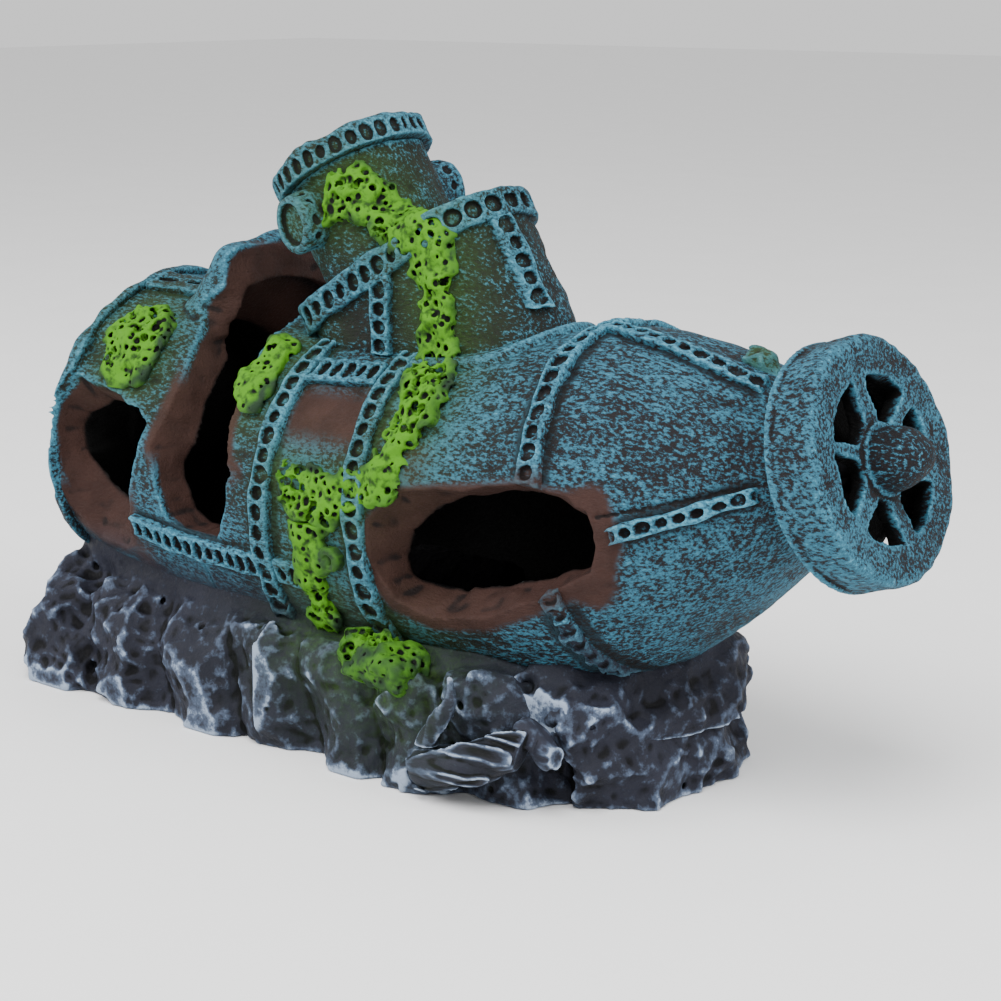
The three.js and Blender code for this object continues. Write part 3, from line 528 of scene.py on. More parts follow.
TOWER_RUN = [
    (*tower_point(31, -11.8, 12.5), 3.6), (*tower_point(26, -12.4, 12), 4.8),
    (*tower_point(20, -10.5, 11), 4.8), (*tower_point(17.5, -8.8, 5), 4.6),
    (*tower_point(14.5, -9.5, 1.5), 4.8), (*tower_point(9, -12, -2), 4.8),
    (*tower_point(9.5, -12.6, -7), 4.4), (*tower_point(11.5, -12.8, -12), 4.2),
]
MOSS_RUNS = {
    "moss_drape": TOWER_RUN + on_hull(
        (1, 30, 3.9), (2.3, 40, 4.4), (2.5, 53, 4.6), (1, 63, 4.2), (-1.2, 75, 3.6),
        (-7, 81, 3.7), (-13.1, 83, 4.4), (-19, 83, 4.6), (-23, 76, 2.6)),
    "moss_strip": on_hull(
        (-18.4, 88, 4.4), (-17.4, 99, 3.4), (-18, 110, 3.1), (-18.6, 122, 3.3),
        (-19.5, 131, 3.2), (-19, 140, 2.4)),
    "moss_bow_patch": on_hull((-73.5, 39, 6.4), (-70.5, 52, 6.6)),
    "moss_breach_patch": on_hull((-37, 33, 4.0), (-38.5, 46, 4.4), (-38.2, 53, 3.8)),
    "moss_clump": [(-8, -24.5, 20.5, 4.8), (-1, -25.5, 19.5, 5.2)],
}


def moss_haze(x, y, z):
    """From 0 to 1, how much green airbrush a point has caught beside the moss."""
    fade = 6.5
    nearest = least(*[route_distance(x, y, z, run) for run in MOSS_RUNS.values()])
    return np.exp(-np.maximum(nearest, 0) / fade)


# ---------------------------------------------------------------- breaches
def breach(field, depth, inside, outside, seed):
    """A hole whose outline changes from the inside of the wall to the outside, with chipped faces."""
    inner = outline_distance(field.x, field.z, inside)
    outer = outline_distance(field.x, field.z, outside)
    share = np.clip(depth / HULL_WALL, 0, 1.15)
    chips = 0.55 * ridged(field, (4.5, 5, 3.5), seed) + 0.2 * noise(field, 1.6, seed + 1)
    return inner + (outer - inner) * share + chips - 0.3


def side_breach(field, hull, inside, outside, seed):
    """A breach that only opens the port side."""
    port_only = field.y + 10
    return np.maximum(breach(field, hull.skin + HULL_WALL, inside, outside, seed), port_only)


def bow_breach(field, hull):
    return side_breach(field, hull, BOW_INSIDE, BOW_OUTSIDE, 41)


def main_breach(field, hull):
    return side_breach(field, hull, MAIN_INSIDE, MAIN_OUTSIDE, 51)


def cross_breach(field, hull, lift=0):
    return breach(field, hull.skin - lift + HULL_WALL, CROSS_INSIDE, CROSS_OUTSIDE, 31)


def plate_relief(field):
    """Hammered plating: shallow dents drawn out along the hull."""
    dents = 0.22 * noise(field, (6, 2.6, 2.6), 11)
    grain = 0.13 * noise(field, (2.2, 1.1, 1.1), 12)
    return dents + grain


def lip_lift(hull):
    """How far the torn plate curls up over the bow edge of the break."""
    rise = smooth_step(hull.station, -71, -61.5)
    port_edge = smooth_step(hull.angle, 30, 12)
    starboard_edge = smooth_step(hull.angle, -60, -40)
    return LIP_RISE * rise * port_edge * starboard_edge * (hull.station < SPLIT_BOW)


# ---------------------------------------------------------------- hull castings
def bow_distance(field):
    """A tube closed by a domed face, with the torn lip at its open end."""
    hull = field_hull(field)
    lift = lip_lift(hull)
    folds = 0.9 * noise(field, (7, 3.5, 3.5), 21) * (lift > 0.5)
    skin = hull.skin - lift - plate_relief(field) - folds
    dome = BOW_DOME * (1 - (hull.radius / BOW_RADIUS) ** 2)
    face = HULL_BOW - np.maximum(dome, -2) - hull.station
    face_thickness = 4
    cavity = np.maximum(hull.skin - lift * 0.95 + HULL_WALL, HULL_BOW + face_thickness - hull.station)
    solid = most(skin, face, hull.station - SPLIT_BOW)
    return carved(solid, cavity, cross_breach(field, hull, lift), bow_breach(field, hull))


def middle_distance(field):
    """The open tube between the bow and stern castings."""
    hull = field_hull(field)
    skin = hull.skin - plate_relief(field)
    run_in = 0.2  # into the stern casting, so that no gap shows
    solid = most(skin, SPLIT_BOW - hull.station, hull.station - TAPER_FROM - run_in)
    return carved(solid, hull.skin + HULL_WALL, cross_breach(field, hull), main_breach(field, hull))


def stern_distance(field):
    """The tail, with a boss behind the wheel and a crease drawn along its side."""
    hull = field_hull(field)
    skin = hull.skin - plate_relief(field)
    tail_wall = 6
    solid = most(skin, TAPER_FROM - hull.station, hull.station - HULL_TAIL)
    solid = carved(solid, np.maximum(hull.skin + HULL_WALL, hull.station - HULL_TAIL + tail_wall))
    ahead, radius, _ = wheel_axes(*field.axes)
    boss_radius, boss_half, shaft_bore = 15.2, 1.3, 3.4
    boss = np.maximum(radius - boss_radius, np.abs(ahead + WHEEL_DEPTH - 0.2) - boss_half)
    solid = np.minimum(solid, np.maximum(boss, shaft_bore - radius))
    degrees_per_radian = 57.3
    off_crease = np.abs(hull.angle - 88 + 0.12 * (hull.station - 40))
    crease = off_crease * hull_radius(hull.station) / degrees_per_radian
    engraved = most(crease - 0.25, -(hull.skin + 0.35), 40 - hull.station)
    return carved(solid, engraved, main_breach(field, hull))


def in_area(value, low, high, fade):
    """1 between the limits and 0 beyond them."""
    return smooth_step(value, low - fade, low + fade) * smooth_step(value, high + fade, high - fade)


def strap_place(hull, strap):
    """Distance round the plating from a strap's middle line, by its entry in STRAPS."""
    first, last, angle, end_angle = strap[:4]
    share = (hull.station - first) / (last - first)
    middle = angle + (end_angle - angle) * share
    return np.radians(hull.angle - middle) * hull_radius(hull.station)


def strap_shadow(hull):
    """Painted shade: dark along the sides of the straps, where the plating meets them."""
    dark = 0
    for station in (FORE_BAND, MIDDLE_BAND, STERN_BAND):
        dark = np.maximum(dark, in_area(np.abs(hull.station - station), 1.5, 3.7, 0.5))
    for strap in STRAPS.values():
        first, last, half_width = strap[0], strap[1], strap[-1]
        beside = in_area(np.abs(strap_place(hull, strap)), 0.5, half_width + 1.1, 0.5)
        dark = np.maximum(dark, beside * in_area(hull.station, first, last, 0.5))
    return dark


def paint_hull(mesh):
    """Rust on torn walls and beside them, painted shade in black inside the hull and on the tail behind the
    wheel, slate near the rock, green by the moss.
    """
    x, y, z = vertex_places(mesh)
    hull = HullPlace(x, y, z)
    lift = lip_lift(hull)
    depth = hull.skin - lift
    wall = smooth_step(depth, -0.6, -1.3)
    main = outline_distance(x, z, MAIN_OUTSIDE)
    bow = outline_distance(x, z, BOW_OUTSIDE)
    cross = outline_distance(x, z, CROSS_OUTSIDE)
    port = y < -8
    reach = 1.0 + 3.2 * smooth_step(x, 34, 40) + 1.6 * smooth_step(z, 42, 36)
    beside_main = port * smooth_step(main, reach + 0.8, reach - 0.8)
    beside_bow = port * smooth_step(bow, 2.5, 0.5) * in_area(z, 20, 40, 4)
    beside_cross = smooth_step(cross, 2.8, 1.2) * in_area(z, 46, 62, 3)
    panel = in_area(hull.station, -26.5, -9.5, 1.2) * in_area(hull.angle, 43, 66, 7)
    scorch = 0.45 * in_area(hull.station, -3, 8, 3) * in_area(hull.angle, 62, 96, 6)
    bow_foot = in_area(hull.station, -66, -60, 3) * in_area(hull.angle, 120, 150, 8)
    rust = most(wall, beside_main, beside_bow, beside_cross, panel, scorch * port, bow_foot)
    rust = np.where(lift > 2, wall, rust)
    # Painted shade: black deep inside the hull, except on the roof under the lip where light reaches, and
    # on the tail face behind the wheel.
    inside = smooth_step(depth, -5.6, -6.4)
    seen_roof = smooth_step(z, 58, 66) * in_area(x, -68, -40, 2)
    set_attribute(mesh, "rust", rust)
    boss = smooth_step(x, 62, 64) * (hull.station > HULL_TAIL - 0.6)
    set_attribute(mesh, "black", np.maximum(inside * (1 - seen_roof), boss))
    set_attribute(mesh, "slate", smooth_step(z, 32, 21) * smooth_step(x, 5, -20))
    set_attribute(mesh, "green", moss_haze(x, y, z) * (1 - 0.85 * rust))
    # painted shade beside the bands and straps
    set_attribute(mesh, "strap_shade", strap_shadow(hull) * (1 - rust))


def paint_plain(mesh):
    """Rust beside the main breach, slate near the rock and green by the moss, for outside pieces."""
    x, y, z = vertex_places(mesh)
    main = outline_distance(x, z, MAIN_OUTSIDE)
    port = y < -8
    rust = 0.8 * port * smooth_step(main, 5, 1.5) * smooth_step(x, 10, 25)
    low_bow = smooth_step(z, 30, 20) * smooth_step(x, 0, -20)
    low_stern = 0.75 * smooth_step(z, 36, 28) * (x > 0)
    set_attribute(mesh, "rust", rust)
    set_attribute(mesh, "black", 0.0)
    set_attribute(mesh, "strap_shade", 0.0)
    set_attribute(mesh, "slate", np.maximum(low_bow, low_stern))
    set_attribute(mesh, "green", moss_haze(x, y, z))


def build_hull(material):
    castings = {
        "bow_hull": (bow_distance, "bow_hull_shell"),
        "middle_hull": (middle_distance, "middle_hull_shell"),
        "stern_hull": (stern_distance, "stern_hull_cone"),
    }
    for name, (distance, node) in castings.items():
        field = around(node, voxel=0.42)
        build_piece(name, field, distance(field), material, [node], paint_hull)


# ---------------------------------------------------------------- bands and straps
def dimples(along, across, over_floor, pitch, radius_along, radius_across):
    """Row of rough round pits, no deeper than a floor: over_floor is negative above it."""
    turn = np.round(along / pitch)
    size = 1 + 0.12 * np.sin(turn * 2.7) + 0.08 * np.sin(turn * 5.3 + 1)
    away = along - turn * pitch
    pit = np.hypot(away / radius_along, across / radius_across) - size
    return np.maximum(pit * min(radius_along, radius_across), over_floor)


def strap_distance(field, hull, across, along, half_width, ends, pit, pitch=DIMPLE_PITCH):
    """A hand-made raised strap over the plating with a row of pits along it."""
    waver = 0.35 * noise(field, 3.2, 61) + 0.15 * noise(field, 1.2, 62)
    across = across + 0.35 * noise(field, 9, 63)
    raised = rounded_slab(across, hull.skin - 0.5 * waver, half_width + waver, BAND_TOP, 0.6)
    raised = most(raised, -(hull.skin + 1.0), ends)
    return carved(raised, dimples(along + 0.5 * waver, across, 0.35 - hull.skin, pitch, *pit))


def hull_band(field, station):
    hull = field_hull(field)
    arc = np.radians(hull.angle) * hull_radius(station)
    across = hull.station - station
    holes = least(cross_breach(field, hull), main_breach(field, hull), bow_breach(field, hull))
    lowest = 19
    ends = np.maximum(-holes, lowest - field.z)
    if station == BOW_RIM:
        no_pit = (0.01, 0.01)
        return strap_distance(field, hull, across, arc, 1.1, ends, no_pit)
    low_stern = smooth_step(field.z, 38, 32) * (station > TAPER_FROM)
    half_width = (BAND_WIDTH / 2 - 0.6) * (1 - 0.35 * low_stern)
    return strap_distance(field, hull, across, arc, half_width, ends, (DIMPLE_RADIUS, 1.5))


def build_bands(material):
    bands = {
        "bow_rim": (BOW_RIM, ["bow_rim_band"]),
        "fore": (FORE_BAND, ["fore_band_port", "fore_band_starboard"]),
        "middle": (MIDDLE_BAND, ["middle_band_port", "middle_band_starboard"]),
        "stern": (STERN_BAND, ["stern_band"]),
    }
    for name, (station, nodes) in bands.items():
        field = around(*nodes, voxel=0.32)
        shape = hull_band(field, station)
        build_piece(f"{name}_band_ring", field, shape, material, nodes, paint_plain)


STRAPS = {
    # name: first and last station, angle at each end, pit half length and width, pitch, half width
    "waterline_strap": (-62, -31, 111, 111, 0.95, 1.35, 2.5, 2.0),
    "waterline_strap_aft": (-26.5, -20, 111, 111, 0.95, 1.35, 2.5, 2.0),
    "shoulder_strap": (-26.5, -10, 38, 37, 1.15, 1.5, 2.9, 2.2),
    "stern_side_strap": (42, 62, 95, 90, 0.95, 0.95, 2.5, 1.5),
    "spine_strap": (31, 61, 7, 22, 1.25, 1.0, 3.0, 1.7),
    "bow_deck_strap": (-83, -68, 14, 9, 3.0, 1.0, 8.0, 3.2),
}


def build_straps(material):
    for name, strap in STRAPS.items():
        first, last, angle, end_angle, pit_long, pit_wide, pitch, half_width = strap
        ends_at = [hull_point(s, a, 2) for s in (first, last) for a in (angle - 15, end_angle + 15)]
        low, high = box_limits(name)
        low = np.minimum(low, np.min(ends_at, axis=0))
        high = np.maximum(high, np.max(ends_at, axis=0))
        field = Field(low, high, 0.3)
        hull = field_hull(field)
        ends = carved(np.maximum(first - hull.station, hull.station - last), cross_breach(field, hull))
        shape = strap_distance(field, hull, strap_place(hull, strap), hull.station, half_width, ends,
                               (pit_long, pit_wide), pitch)
        build_piece(name + "_cast", field, shape, material, [name], paint_plain)


# ---------------------------------------------------------------- conning tower
def build_casemate(material):
    field = around("casemate", voxel=0.42)
    hull = field_hull(field)
    above, outside, _ = tower_frame(field)
    shape = np.maximum(outside - plate_relief(field), above)
    shape = carved(shape, hull.skin + 0.6, cross_breach(field, hull))
    build_piece("casemate_body", field, shape, material, ["casemate"], paint_plain)


def casemate_strap(field, along, across, half_width, ends):
    """A pitted strap on the casemate's side."""
    _, outside, _ = tower_frame(field)
    waver = 0.3 * noise(field, 3.2, 71) + 0.12 * noise(field, 1.2, 72)
    raised = rounded_slab(across, outside - 0.5 * waver, half_width + waver, BAND_TOP, 0.6)
    raised = most(raised, -(outside + 1.0), ends)
    return carved(raised, dimples(along + waver, across, 0.3 - outside, 3.3, DIMPLE_RADIUS, 1.5))


def build_tower_straps(material):
    deck_half = 2.6
    field = around("casemate_deck_band", voxel=0.3)
    above, _, rim = tower_frame(field)
    shape = casemate_strap(field, rim, above + deck_half, deck_half, above - 0.25)
    shape = carved(shape, cross_breach(field, field_hull(field)))
    build_piece("deck_band_cast", field, shape, material, ["casemate_deck_band"], paint_plain)

    for name in ("stern_post", "side_strap"):
        field = around("casemate_" + name, voxel=0.3)
        above, _, _ = tower_frame(field)
        ends = carved(above + 4.8, field_hull(field).skin + 0.5)
        if name == "stern_post":
            shape = casemate_strap(field, above, field.y - POST_OFFSET, 2.3, ends)
        else:
            ends = np.maximum(ends, field.y)
            shape = casemate_strap(field, field.z, field.x - SIDE_STRAP_X, 2.2, ends)
        build_piece(name + "_cast", field, shape, material, ["casemate_" + name], paint_plain)


def build_flange(material):
    """The lip that the casemate stands on, left out on the port side forward of the middle band."""
    field = around("casemate_foot_flange", voxel=0.35)
    hull = field_hull(field)
    _, outside, _ = tower_frame(field)
    waver = 0.3 * noise(field, 4, 75)
    bead = rounded_slab(outside - 2.3 + waver, hull.skin, 0.7, 1.3, 0.4)
    ledge = rounded_slab(outside + waver, hull.skin, 2.8, 0.6, 0.4)
    port_start = -7
    left_out = np.minimum(port_start - field.x, -field.y)
    shape = np.maximum(np.minimum(bead, ledge), left_out)
    shape = carved(shape, hull.skin + 0.8, outside + 0.6, cross_breach(field, hull))
    build_piece("foot_flange_cast", field, shape, material, ["casemate_foot_flange"],
                paint_plain)


def build_turret(paint, band_paint):
    """The round turret on the deck and its overhanging lid, pitted round its rim and its top."""
    field = around("fore_turret", voxel=0.4)
    _, radius, above = turret_frame(field)
    side = radius - TURRET_RADIUS - plate_relief(field)
    shape = most(side, above - TURRET_HEIGHT, -above - 0.5)
    build_piece("turret_body", field, shape, paint, ["fore_turret"], paint_plain)

    field = around("turret_lid", voxel=0.3)
    ahead, radius, above = turret_frame(field)
    height = above - TURRET_HEIGHT
    bumps = 0.3 * noise(field, 3, 81) + 0.2 * noise(field, 1.3, 82)
    side = radius - LID_RADIUS - bumps * 0.7 + 0.25
    top = height - LID_HEIGHT - 0.45 * (1 - radius / LID_RADIUS) - bumps
    shape = np.maximum(rounded_corner(side, top, 1.2), -height)
    turn = np.arctan2(field.y, ahead) * LID_RADIUS
    rim_pits = dimples(turn + bumps, height - 1.9, LID_RADIUS - 1.0 - radius, 2.9, 1.05, 1.45)
    cap_pits = dimples(turn, radius - 10.5, LID_HEIGHT - 0.5 - height, 4.2, 0.9, 0.7)
    shape = carved(shape, rim_pits, cap_pits)
    build_piece("turret_lid_cast", field, shape, band_paint, ["turret_lid"], paint_plain)


PORTHOLES = {"port": (-0.26, -0.966), "starboard": (0.3, 0.954)}   # aft and side share of the direction


def build_portholes(material):
    """Short open tubes that stand out from the turret's sides."""
    for name, (aft, side) in PORTHOLES.items():
        node = f"{name}_porthole"
        field = around(node, voxel=0.28)
        ahead, _, above = turret_frame(field)
        out = -ahead * aft + field.y * side
        across = ahead * side + field.y * aft
        radius = np.hypot(across, above - PORTHOLE_ABOVE)
        bumps = 0.3 * noise(field, 2.2, 91) + 0.15 * noise(field, 1, 92)
        end = out - (TURRET_RADIUS + 4.2)
        shape = rounded_corner(radius - PORTHOLE_RADIUS + 0.3 - bumps, end, 0.9)
        shape = np.maximum(shape, TURRET_RADIUS - 2 - out)
        glass = np.maximum(radius - 3.7 - 0.2 * bumps, -(end + 1.1))
        turn = np.arctan2(across, above - PORTHOLE_ABOVE) * PORTHOLE_RADIUS
        pits = dimples(turn + 2 * bumps, out - TURRET_RADIUS - 1.8, PORTHOLE_RADIUS - 0.9 - radius,
                       3.4, 0.9, 0.8)
        build_piece(f"{node}_cast", field, carved(shape, glass, pits), material, [node],
                    paint_plain)


# ---------------------------------------------------------------- plate, fin
def paint_fin(mesh):
    """Green upper part, as the growth has taken the fin."""
    paint_plain(mesh)
    height = vertex_places(mesh)[2]
    set_attribute(mesh, "green", smooth_step(height, 58, 66))


def build_fittings(paint, moss):
    field = around("bolt_plate", voxel=0.22)
    hull = field_hull(field)
    x, _, z = hull_point(-12.9, 102, 0.5)
    dx, dz = np.abs(field.x - x), np.abs(field.z - z)
    octagon = np.maximum(np.maximum(dx, dz), (dx + dz) * 0.72)
    shape = rounded_slab(octagon + 0 * hull.skin, hull.skin, 2.1, 1.9, 0.4)
    shape = carved(shape - 0.15 * noise(field, 1.5, 95), hull.skin + 0.5)
    pit = np.maximum(np.sqrt(dx**2 + dz**2) - 0.9, 1.0 - hull.skin)
    build_piece("bolt_plate_cast", field, carved(shape, pit), moss, ["bolt_plate"])

    field = around("stern_fin", voxel=0.35)
    outline = [(48, 58), (60, 58), (58, 70.3), (54, 74.2), (48.3, 74.7)]
    plan = outline_distance(field.x, field.z, outline)
    lumps = 0.9 * noise(field, 3.5, 96) + 0.5 * ridged(field, 1.8, 97) - 0.2
    shape = rounded_corner(plan - lumps + 0.6, np.abs(field.y) - 2 - lumps, 1.2)
    shape = carved(shape, field_hull(field).skin + 0.6)
    build_piece("stern_fin_cast", field, shape, paint, ["stern_fin"], paint_fin)


# ---------------------------------------------------------------- propeller
def wheel_axes(x, y, z):
    """Distance ahead of the wheel's front face, distance from its axis and turn from the top."""
    dx, dz = x - WHEEL_CENTRE[0], z - WHEEL_CENTRE[2]
    ahead = dx * math.cos(WHEEL_PITCH) + dz * math.sin(WHEEL_PITCH)
    up = -dx * math.sin(WHEEL_PITCH) + dz * math.cos(WHEEL_PITCH)
    radius = np.hypot(up, y)
    turn = np.arctan2(y + 0 * up, up + 0 * y)
    return ahead, radius, turn


def wheel_openings(radius, turn):
    """Six hand-cut trapezoid windows, no two quite alike."""
    sector = math.tau / 6
    turned = turn - WINDOW_TURN
    number = np.round(turned / sector)
    skew = 0.05 * np.sin(number * 2.3 + 1)
    local = turned - number * sector - skew
    out = radius * np.cos(local)
    side = np.abs(radius * np.sin(local))
    spoke_half = 1.45 + 0.25 * np.sin(number * 1.7)
    flank = side - (out * math.tan(sector / 2) - spoke_half / math.cos(sector / 2))
    inner = 5.9 + 0.4 * np.sin(number * 3.1) - out
    outer = radius - WHEEL_OPENING + 0.2 - 0.3 * np.sin(number * 4.7)
    rounding = 0.8
    return rounded_corner(flank * math.cos(sector / 2), np.maximum(inner, outer), rounding)


def wheel_distance(field):
    """A deep shroud with a thin lip behind it, and a web with windows that dishes towards its hub."""
    ahead, radius, turn = wheel_axes(*field.axes)
    relief = 0.16 * noise(field, 2.6, 101) + 0.12 * noise(field, 1.1, 102)
    rim = rounded_corner(radius - WHEEL_RADIUS + 0.25 - relief, ahead + 0.15 - relief, 1.3)
    rim = np.maximum(rim, -(ahead + WHEEL_DEPTH - 0.3))
    lip = most(np.abs(ahead + WHEEL_DEPTH - 1.0) - 0.55, radius - WHEEL_RADIUS + 0.05, SHROUD_BORE - radius)
    bore = np.maximum(radius - SHROUD_BORE, ahead + WEB_DEPTH + 0.1 * relief)
    shape = carved(np.minimum(rim, lip), bore)
    dish = 0.06 * np.maximum(WHEEL_RADIUS - 3 - radius, 0) + ahead + 0.1
    shape = np.where(radius > HUB_RADIUS - 0.1, np.maximum(shape, dish - relief), shape)
    shape = carved(shape, wheel_openings(radius, turn) + 1.5 * relief)
    hub = np.maximum(radius - HUB_RADIUS - relief, np.abs(ahead + WEB_DEPTH / 2) - WEB_DEPTH / 2)
    return np.minimum(shape, hub)


def paint_wheel(mesh):
    """Painted shade: black in the depth of the windows."""
    paint_plain(mesh)
    ahead, radius, _ = wheel_axes(*vertex_places(mesh))
    shadowed = smooth_step(ahead, -0.9, -2.2) * smooth_step(radius, SHROUD_BORE + 0.6, SHROUD_BORE)
    set_attribute(mesh, "black", shadowed)


def build_propeller(paint, nose_paint, plastic):
    field = around("propeller_wheel", voxel=0.33)
    build_piece("propeller_wheel_cast", field, wheel_distance(field), paint,
                ["propeller_wheel"], paint_wheel, body="propeller")

    field = around("propeller_spinner", voxel=0.25)
    ahead, radius, turn = wheel_axes(*field.axes)
    nose = np.sqrt((radius / NOSE_RADIUS) ** 2 + (np.maximum(ahead, 0) / NOSE_LENGTH) ** 2.2) - 1
    shape = nose * NOSE_RADIUS * 0.8 - 0.15 * noise(field, 2, 103)
    shape = np.maximum(shape, -0.2 - ahead)
    hole = np.hypot((turn - 0.9) * 4.4, ahead - 1.4) - 0.6
    shape = carved(shape, np.maximum(hole, 3.2 - radius))
    build_piece("propeller_nose_cast", field, shape, nose_paint, ["propeller_spinner"],
                paint_plain, body="propeller")

    field = around("propeller_shaft", voxel=0.25)
    ahead, radius, _ = wheel_axes(*field.axes)
    shaft = rounded_corner(radius - 1.6, np.abs(ahead + 9) - 7, 0.3)
    build_piece("propeller_shaft_rod", field, shaft, plastic, ["propeller_shaft"],
                body="propeller")

    field = around("stern_bush", voxel=0.25)
    ahead, radius, _ = wheel_axes(*field.axes)
    collar = rounded_corner(radius - 4.1, np.abs(ahead + 11.5) - 2.5, 0.4)
    collar = np.maximum(collar, 1.9 - radius)
    build_piece("stern_bush_collar", field, collar, plastic, ["stern_bush"])


# ---------------------------------------------------------------- rock
def ellipsoid(field, centre, radii):
    scaled = sum(((axis - middle) / radius) ** 2 for axis, middle, radius in zip(field.axes, centre, radii))
    return (np.sqrt(scaled) - 1) * min(radii)


def rock_relief(field):
    """Lumps with scalloped hollows between sharp ridges, as if modelled with a spoon."""
    lumps = 1.6 * noise(field, 13, 111)
    bowls = 2.6 * scallops(field, 10.5, 112)
    dents = 1.1 * scallops(field, 4.4, 116) * smooth_step(noise(field, 9, 117), -0.5, 0.3)
    grain = 0.4 * ridged(field, 2.4, 113) + 0.2 * noise(field, 1.2, 114)
    return lumps + bowls + dents + grain - 2.4


def base_distance(field):
    """A superellipse plan with scalloped sides, drawing in towards the top."""
    x = (field.x - BASE_CENTRE[0]) / BASE_HALF[0]
    y = (field.y - BASE_CENTRE[1]) / BASE_HALF[1]
    draw = 1 + np.where(x > 0, 0.001, 0.0045) * field.z
    power = np.where(x > 0, 2.6, 3.4)
    reach = (np.abs(x * draw) ** power + np.abs(y * draw) ** power) ** (1 / power)
    drift = field.x + 4 * np.sin(field.x / 23) + 0.25 * field.z
    scallop_pitch = 18
    scallop = 3.4 * (np.abs(np.sin(drift * math.pi / scallop_pitch + 0.6)) - 0.75)
    return rounded_corner((reach - 1) * BASE_HALF[1] - scallop, field.z - BASE_SHOULDER, 6)


def rock_distance(field):
    """The slab, its lump under the bow and the skirt that grips the hull, with beds for what lies in it."""
    hull = field_hull(field)
    bow_lump = ellipsoid(field, (-87, 1, 6), (17, 28, 20))
    shape = joined(base_distance(field), bow_lump, 5)
    skirt_top = 25 + 2 * noise(field, 12, 115) - 0.05 * (field.x + 60)
    thickness = 0.22 * np.maximum(skirt_top - field.z, 0) - 0.8
    skirt = most(hull.skin - thickness, field.z - skirt_top, -84 - hull.station, hull.station - 26)
    shape = joined(shape, skirt, 7)
    shape = shape - rock_relief(field) * smooth_step(hull.skin, 0, 6)
    pits = np.maximum(cells(field, 6.5, 121) - 0.75, -(hull.skin - 1))
    log_bed = route_distance(*field.axes, LOG_RUN) - 0.2
    channel = most(np.abs(field.x - INLET_X) - 3.5, field.z - 9, 8 - field.y)
    return carved(shape, pits, log_bed, hull.skin + 1.2, field.z - 0.05, channel)


def boulder_distance(field):
    """A rounded rock under the stern, with folds that fan out from its middle."""
    hull = field_hull(field)
    shape = ellipsoid(field, (24.5, 4, 15), (18.8, 24.5, 12.8))
    turn = np.arctan2(field.z - 8, field.x - 26 + 0.25 * field.y)
    swirl = np.abs(np.sin(turn * 5 + 2.2 * noise(field, 9, 118)))
    relief = 0.8 * rock_relief(field) + 0.6 * swirl * smooth_step(field.x, 20, 34) - 0.3
    return most(shape - relief, -(hull.skin + 1.2), 10 - field.z)


def build_rock(material):
    skirt_limit = 34
    low, high = box_limits("rock_base", margin=1.0)
    high[2] = skirt_limit
    field = Field(low, high, 0.42)
    build_piece("rock_cast", field, rock_distance(field), material, ["rock_base"], paint_rock)

    field = around("stern_boulder", voxel=0.4)
    build_piece("stern_boulder_cast", field, boulder_distance(field), material, ["stern_boulder"],
                paint_rock)


def paint_rock(mesh):
    """Green by the moss and on the bow knob. Where the hull presses, the relief isn't brushed."""
    x, y, z = vertex_places(mesh)
    knob = smooth_step(x, -92, -98) * smooth_step(z, 16, 22) * 0.6
    set_attribute(mesh, "green", np.maximum(moss_haze(x, y, z) * 0.8, knob))
    exposed = smooth_step(HullPlace(x, y, z).skin, 1.0, 4.0)
    edge = np.empty(len(mesh.vertices), np.float32)
    mesh.attributes["edge"].data.foreach_get("value", edge)
    set_attribute(mesh, "edge", edge * exposed)


# ---------------------------------------------------------------- driftwood
LOG_RUN = [(9, -29.3, 5, 3.8), (18, -29.6, 8, 3.9), (29, -26.5, 12.5, 3.6)]
TWIG_RUN = [(9.5, -30.2, 9.5, 2.2), (12.5, -30.2, 14, 1.9), (14.5, -29.5, 18, 1.3), (14, -29, 21, 0.7)]


def log_distance(field):
    """A log with a sawn end and the stub of a branch."""
    shape = route_distance(*field.axes, LOG_RUN)
    shape = shape + 0.8 * (1 - ridged(field, (9, 1.3, 1.3), 131)) + 0.1 * noise(field, 1, 132)
    cut = (field.x - 27.5) * 0.9 + (field.y + 26.5) * 0.25 - (field.z - 12.5) * 0.3
    stub = segment_distance(*field.axes, (27, -25.5, 14.5), (31, -25, 11))[0] - 2.4
    return np.minimum(np.maximum(shape, cut), stub + 0.4 * ridged(field, 1.8, 133))


def twig_distance(field):
    """A thin twig that stands beside the log, narrowing to its tip."""
    shape = route_distance(*field.axes, TWIG_RUN)
    return shape + 0.45 * (1 - ridged(field, (1.1, 1.1, 7), 131)) + 0.1 * noise(field, 1, 132)


def build_wood(material):
    for name, distance in {"driftwood_log": log_distance, "driftwood_twig": twig_distance}.items():
        field = around(name, voxel=0.25)
        build_piece(name + "_cast", field, distance(field), material, [name], paint_rock)


# ---------------------------------------------------------------- moss
def moss_shape(field, run, base, thickness):
    """A spongy layer over a base surface, along a run."""
    edge = 1.2 * noise(field, 4.5, 141) + 1.0 * noise(field, 1.9, 142) + 0.5 * noise(field, 1.0, 147)
    width = route_distance(*field.axes, run) - edge
    lumps = 0.6 * noise(field, 3, 143) + 0.45 * noise(field, 1.3, 146)
    layer = rounded_corner(width, base - thickness - lumps, 1.2)
    hole_size = np.clip(0.64 + 0.3 * noise(field, 4, 144), 0.25, 0.95)
    return carved(layer, base + 1.0, cells(field, 1.6, 145) - hole_size)


def moss_base(field):
    """The hull and the tower, with a fillet where the turret stands on the casemate."""
    above, outside, _ = tower_frame(field)
    _, radius, _ = turret_frame(field)
    casemate = np.maximum(outside, above)
    turret = np.maximum(radius - TURRET_RADIUS, above - TURRET_HEIGHT)
    return least(field_hull(field).skin, joined(casemate, turret, 7))


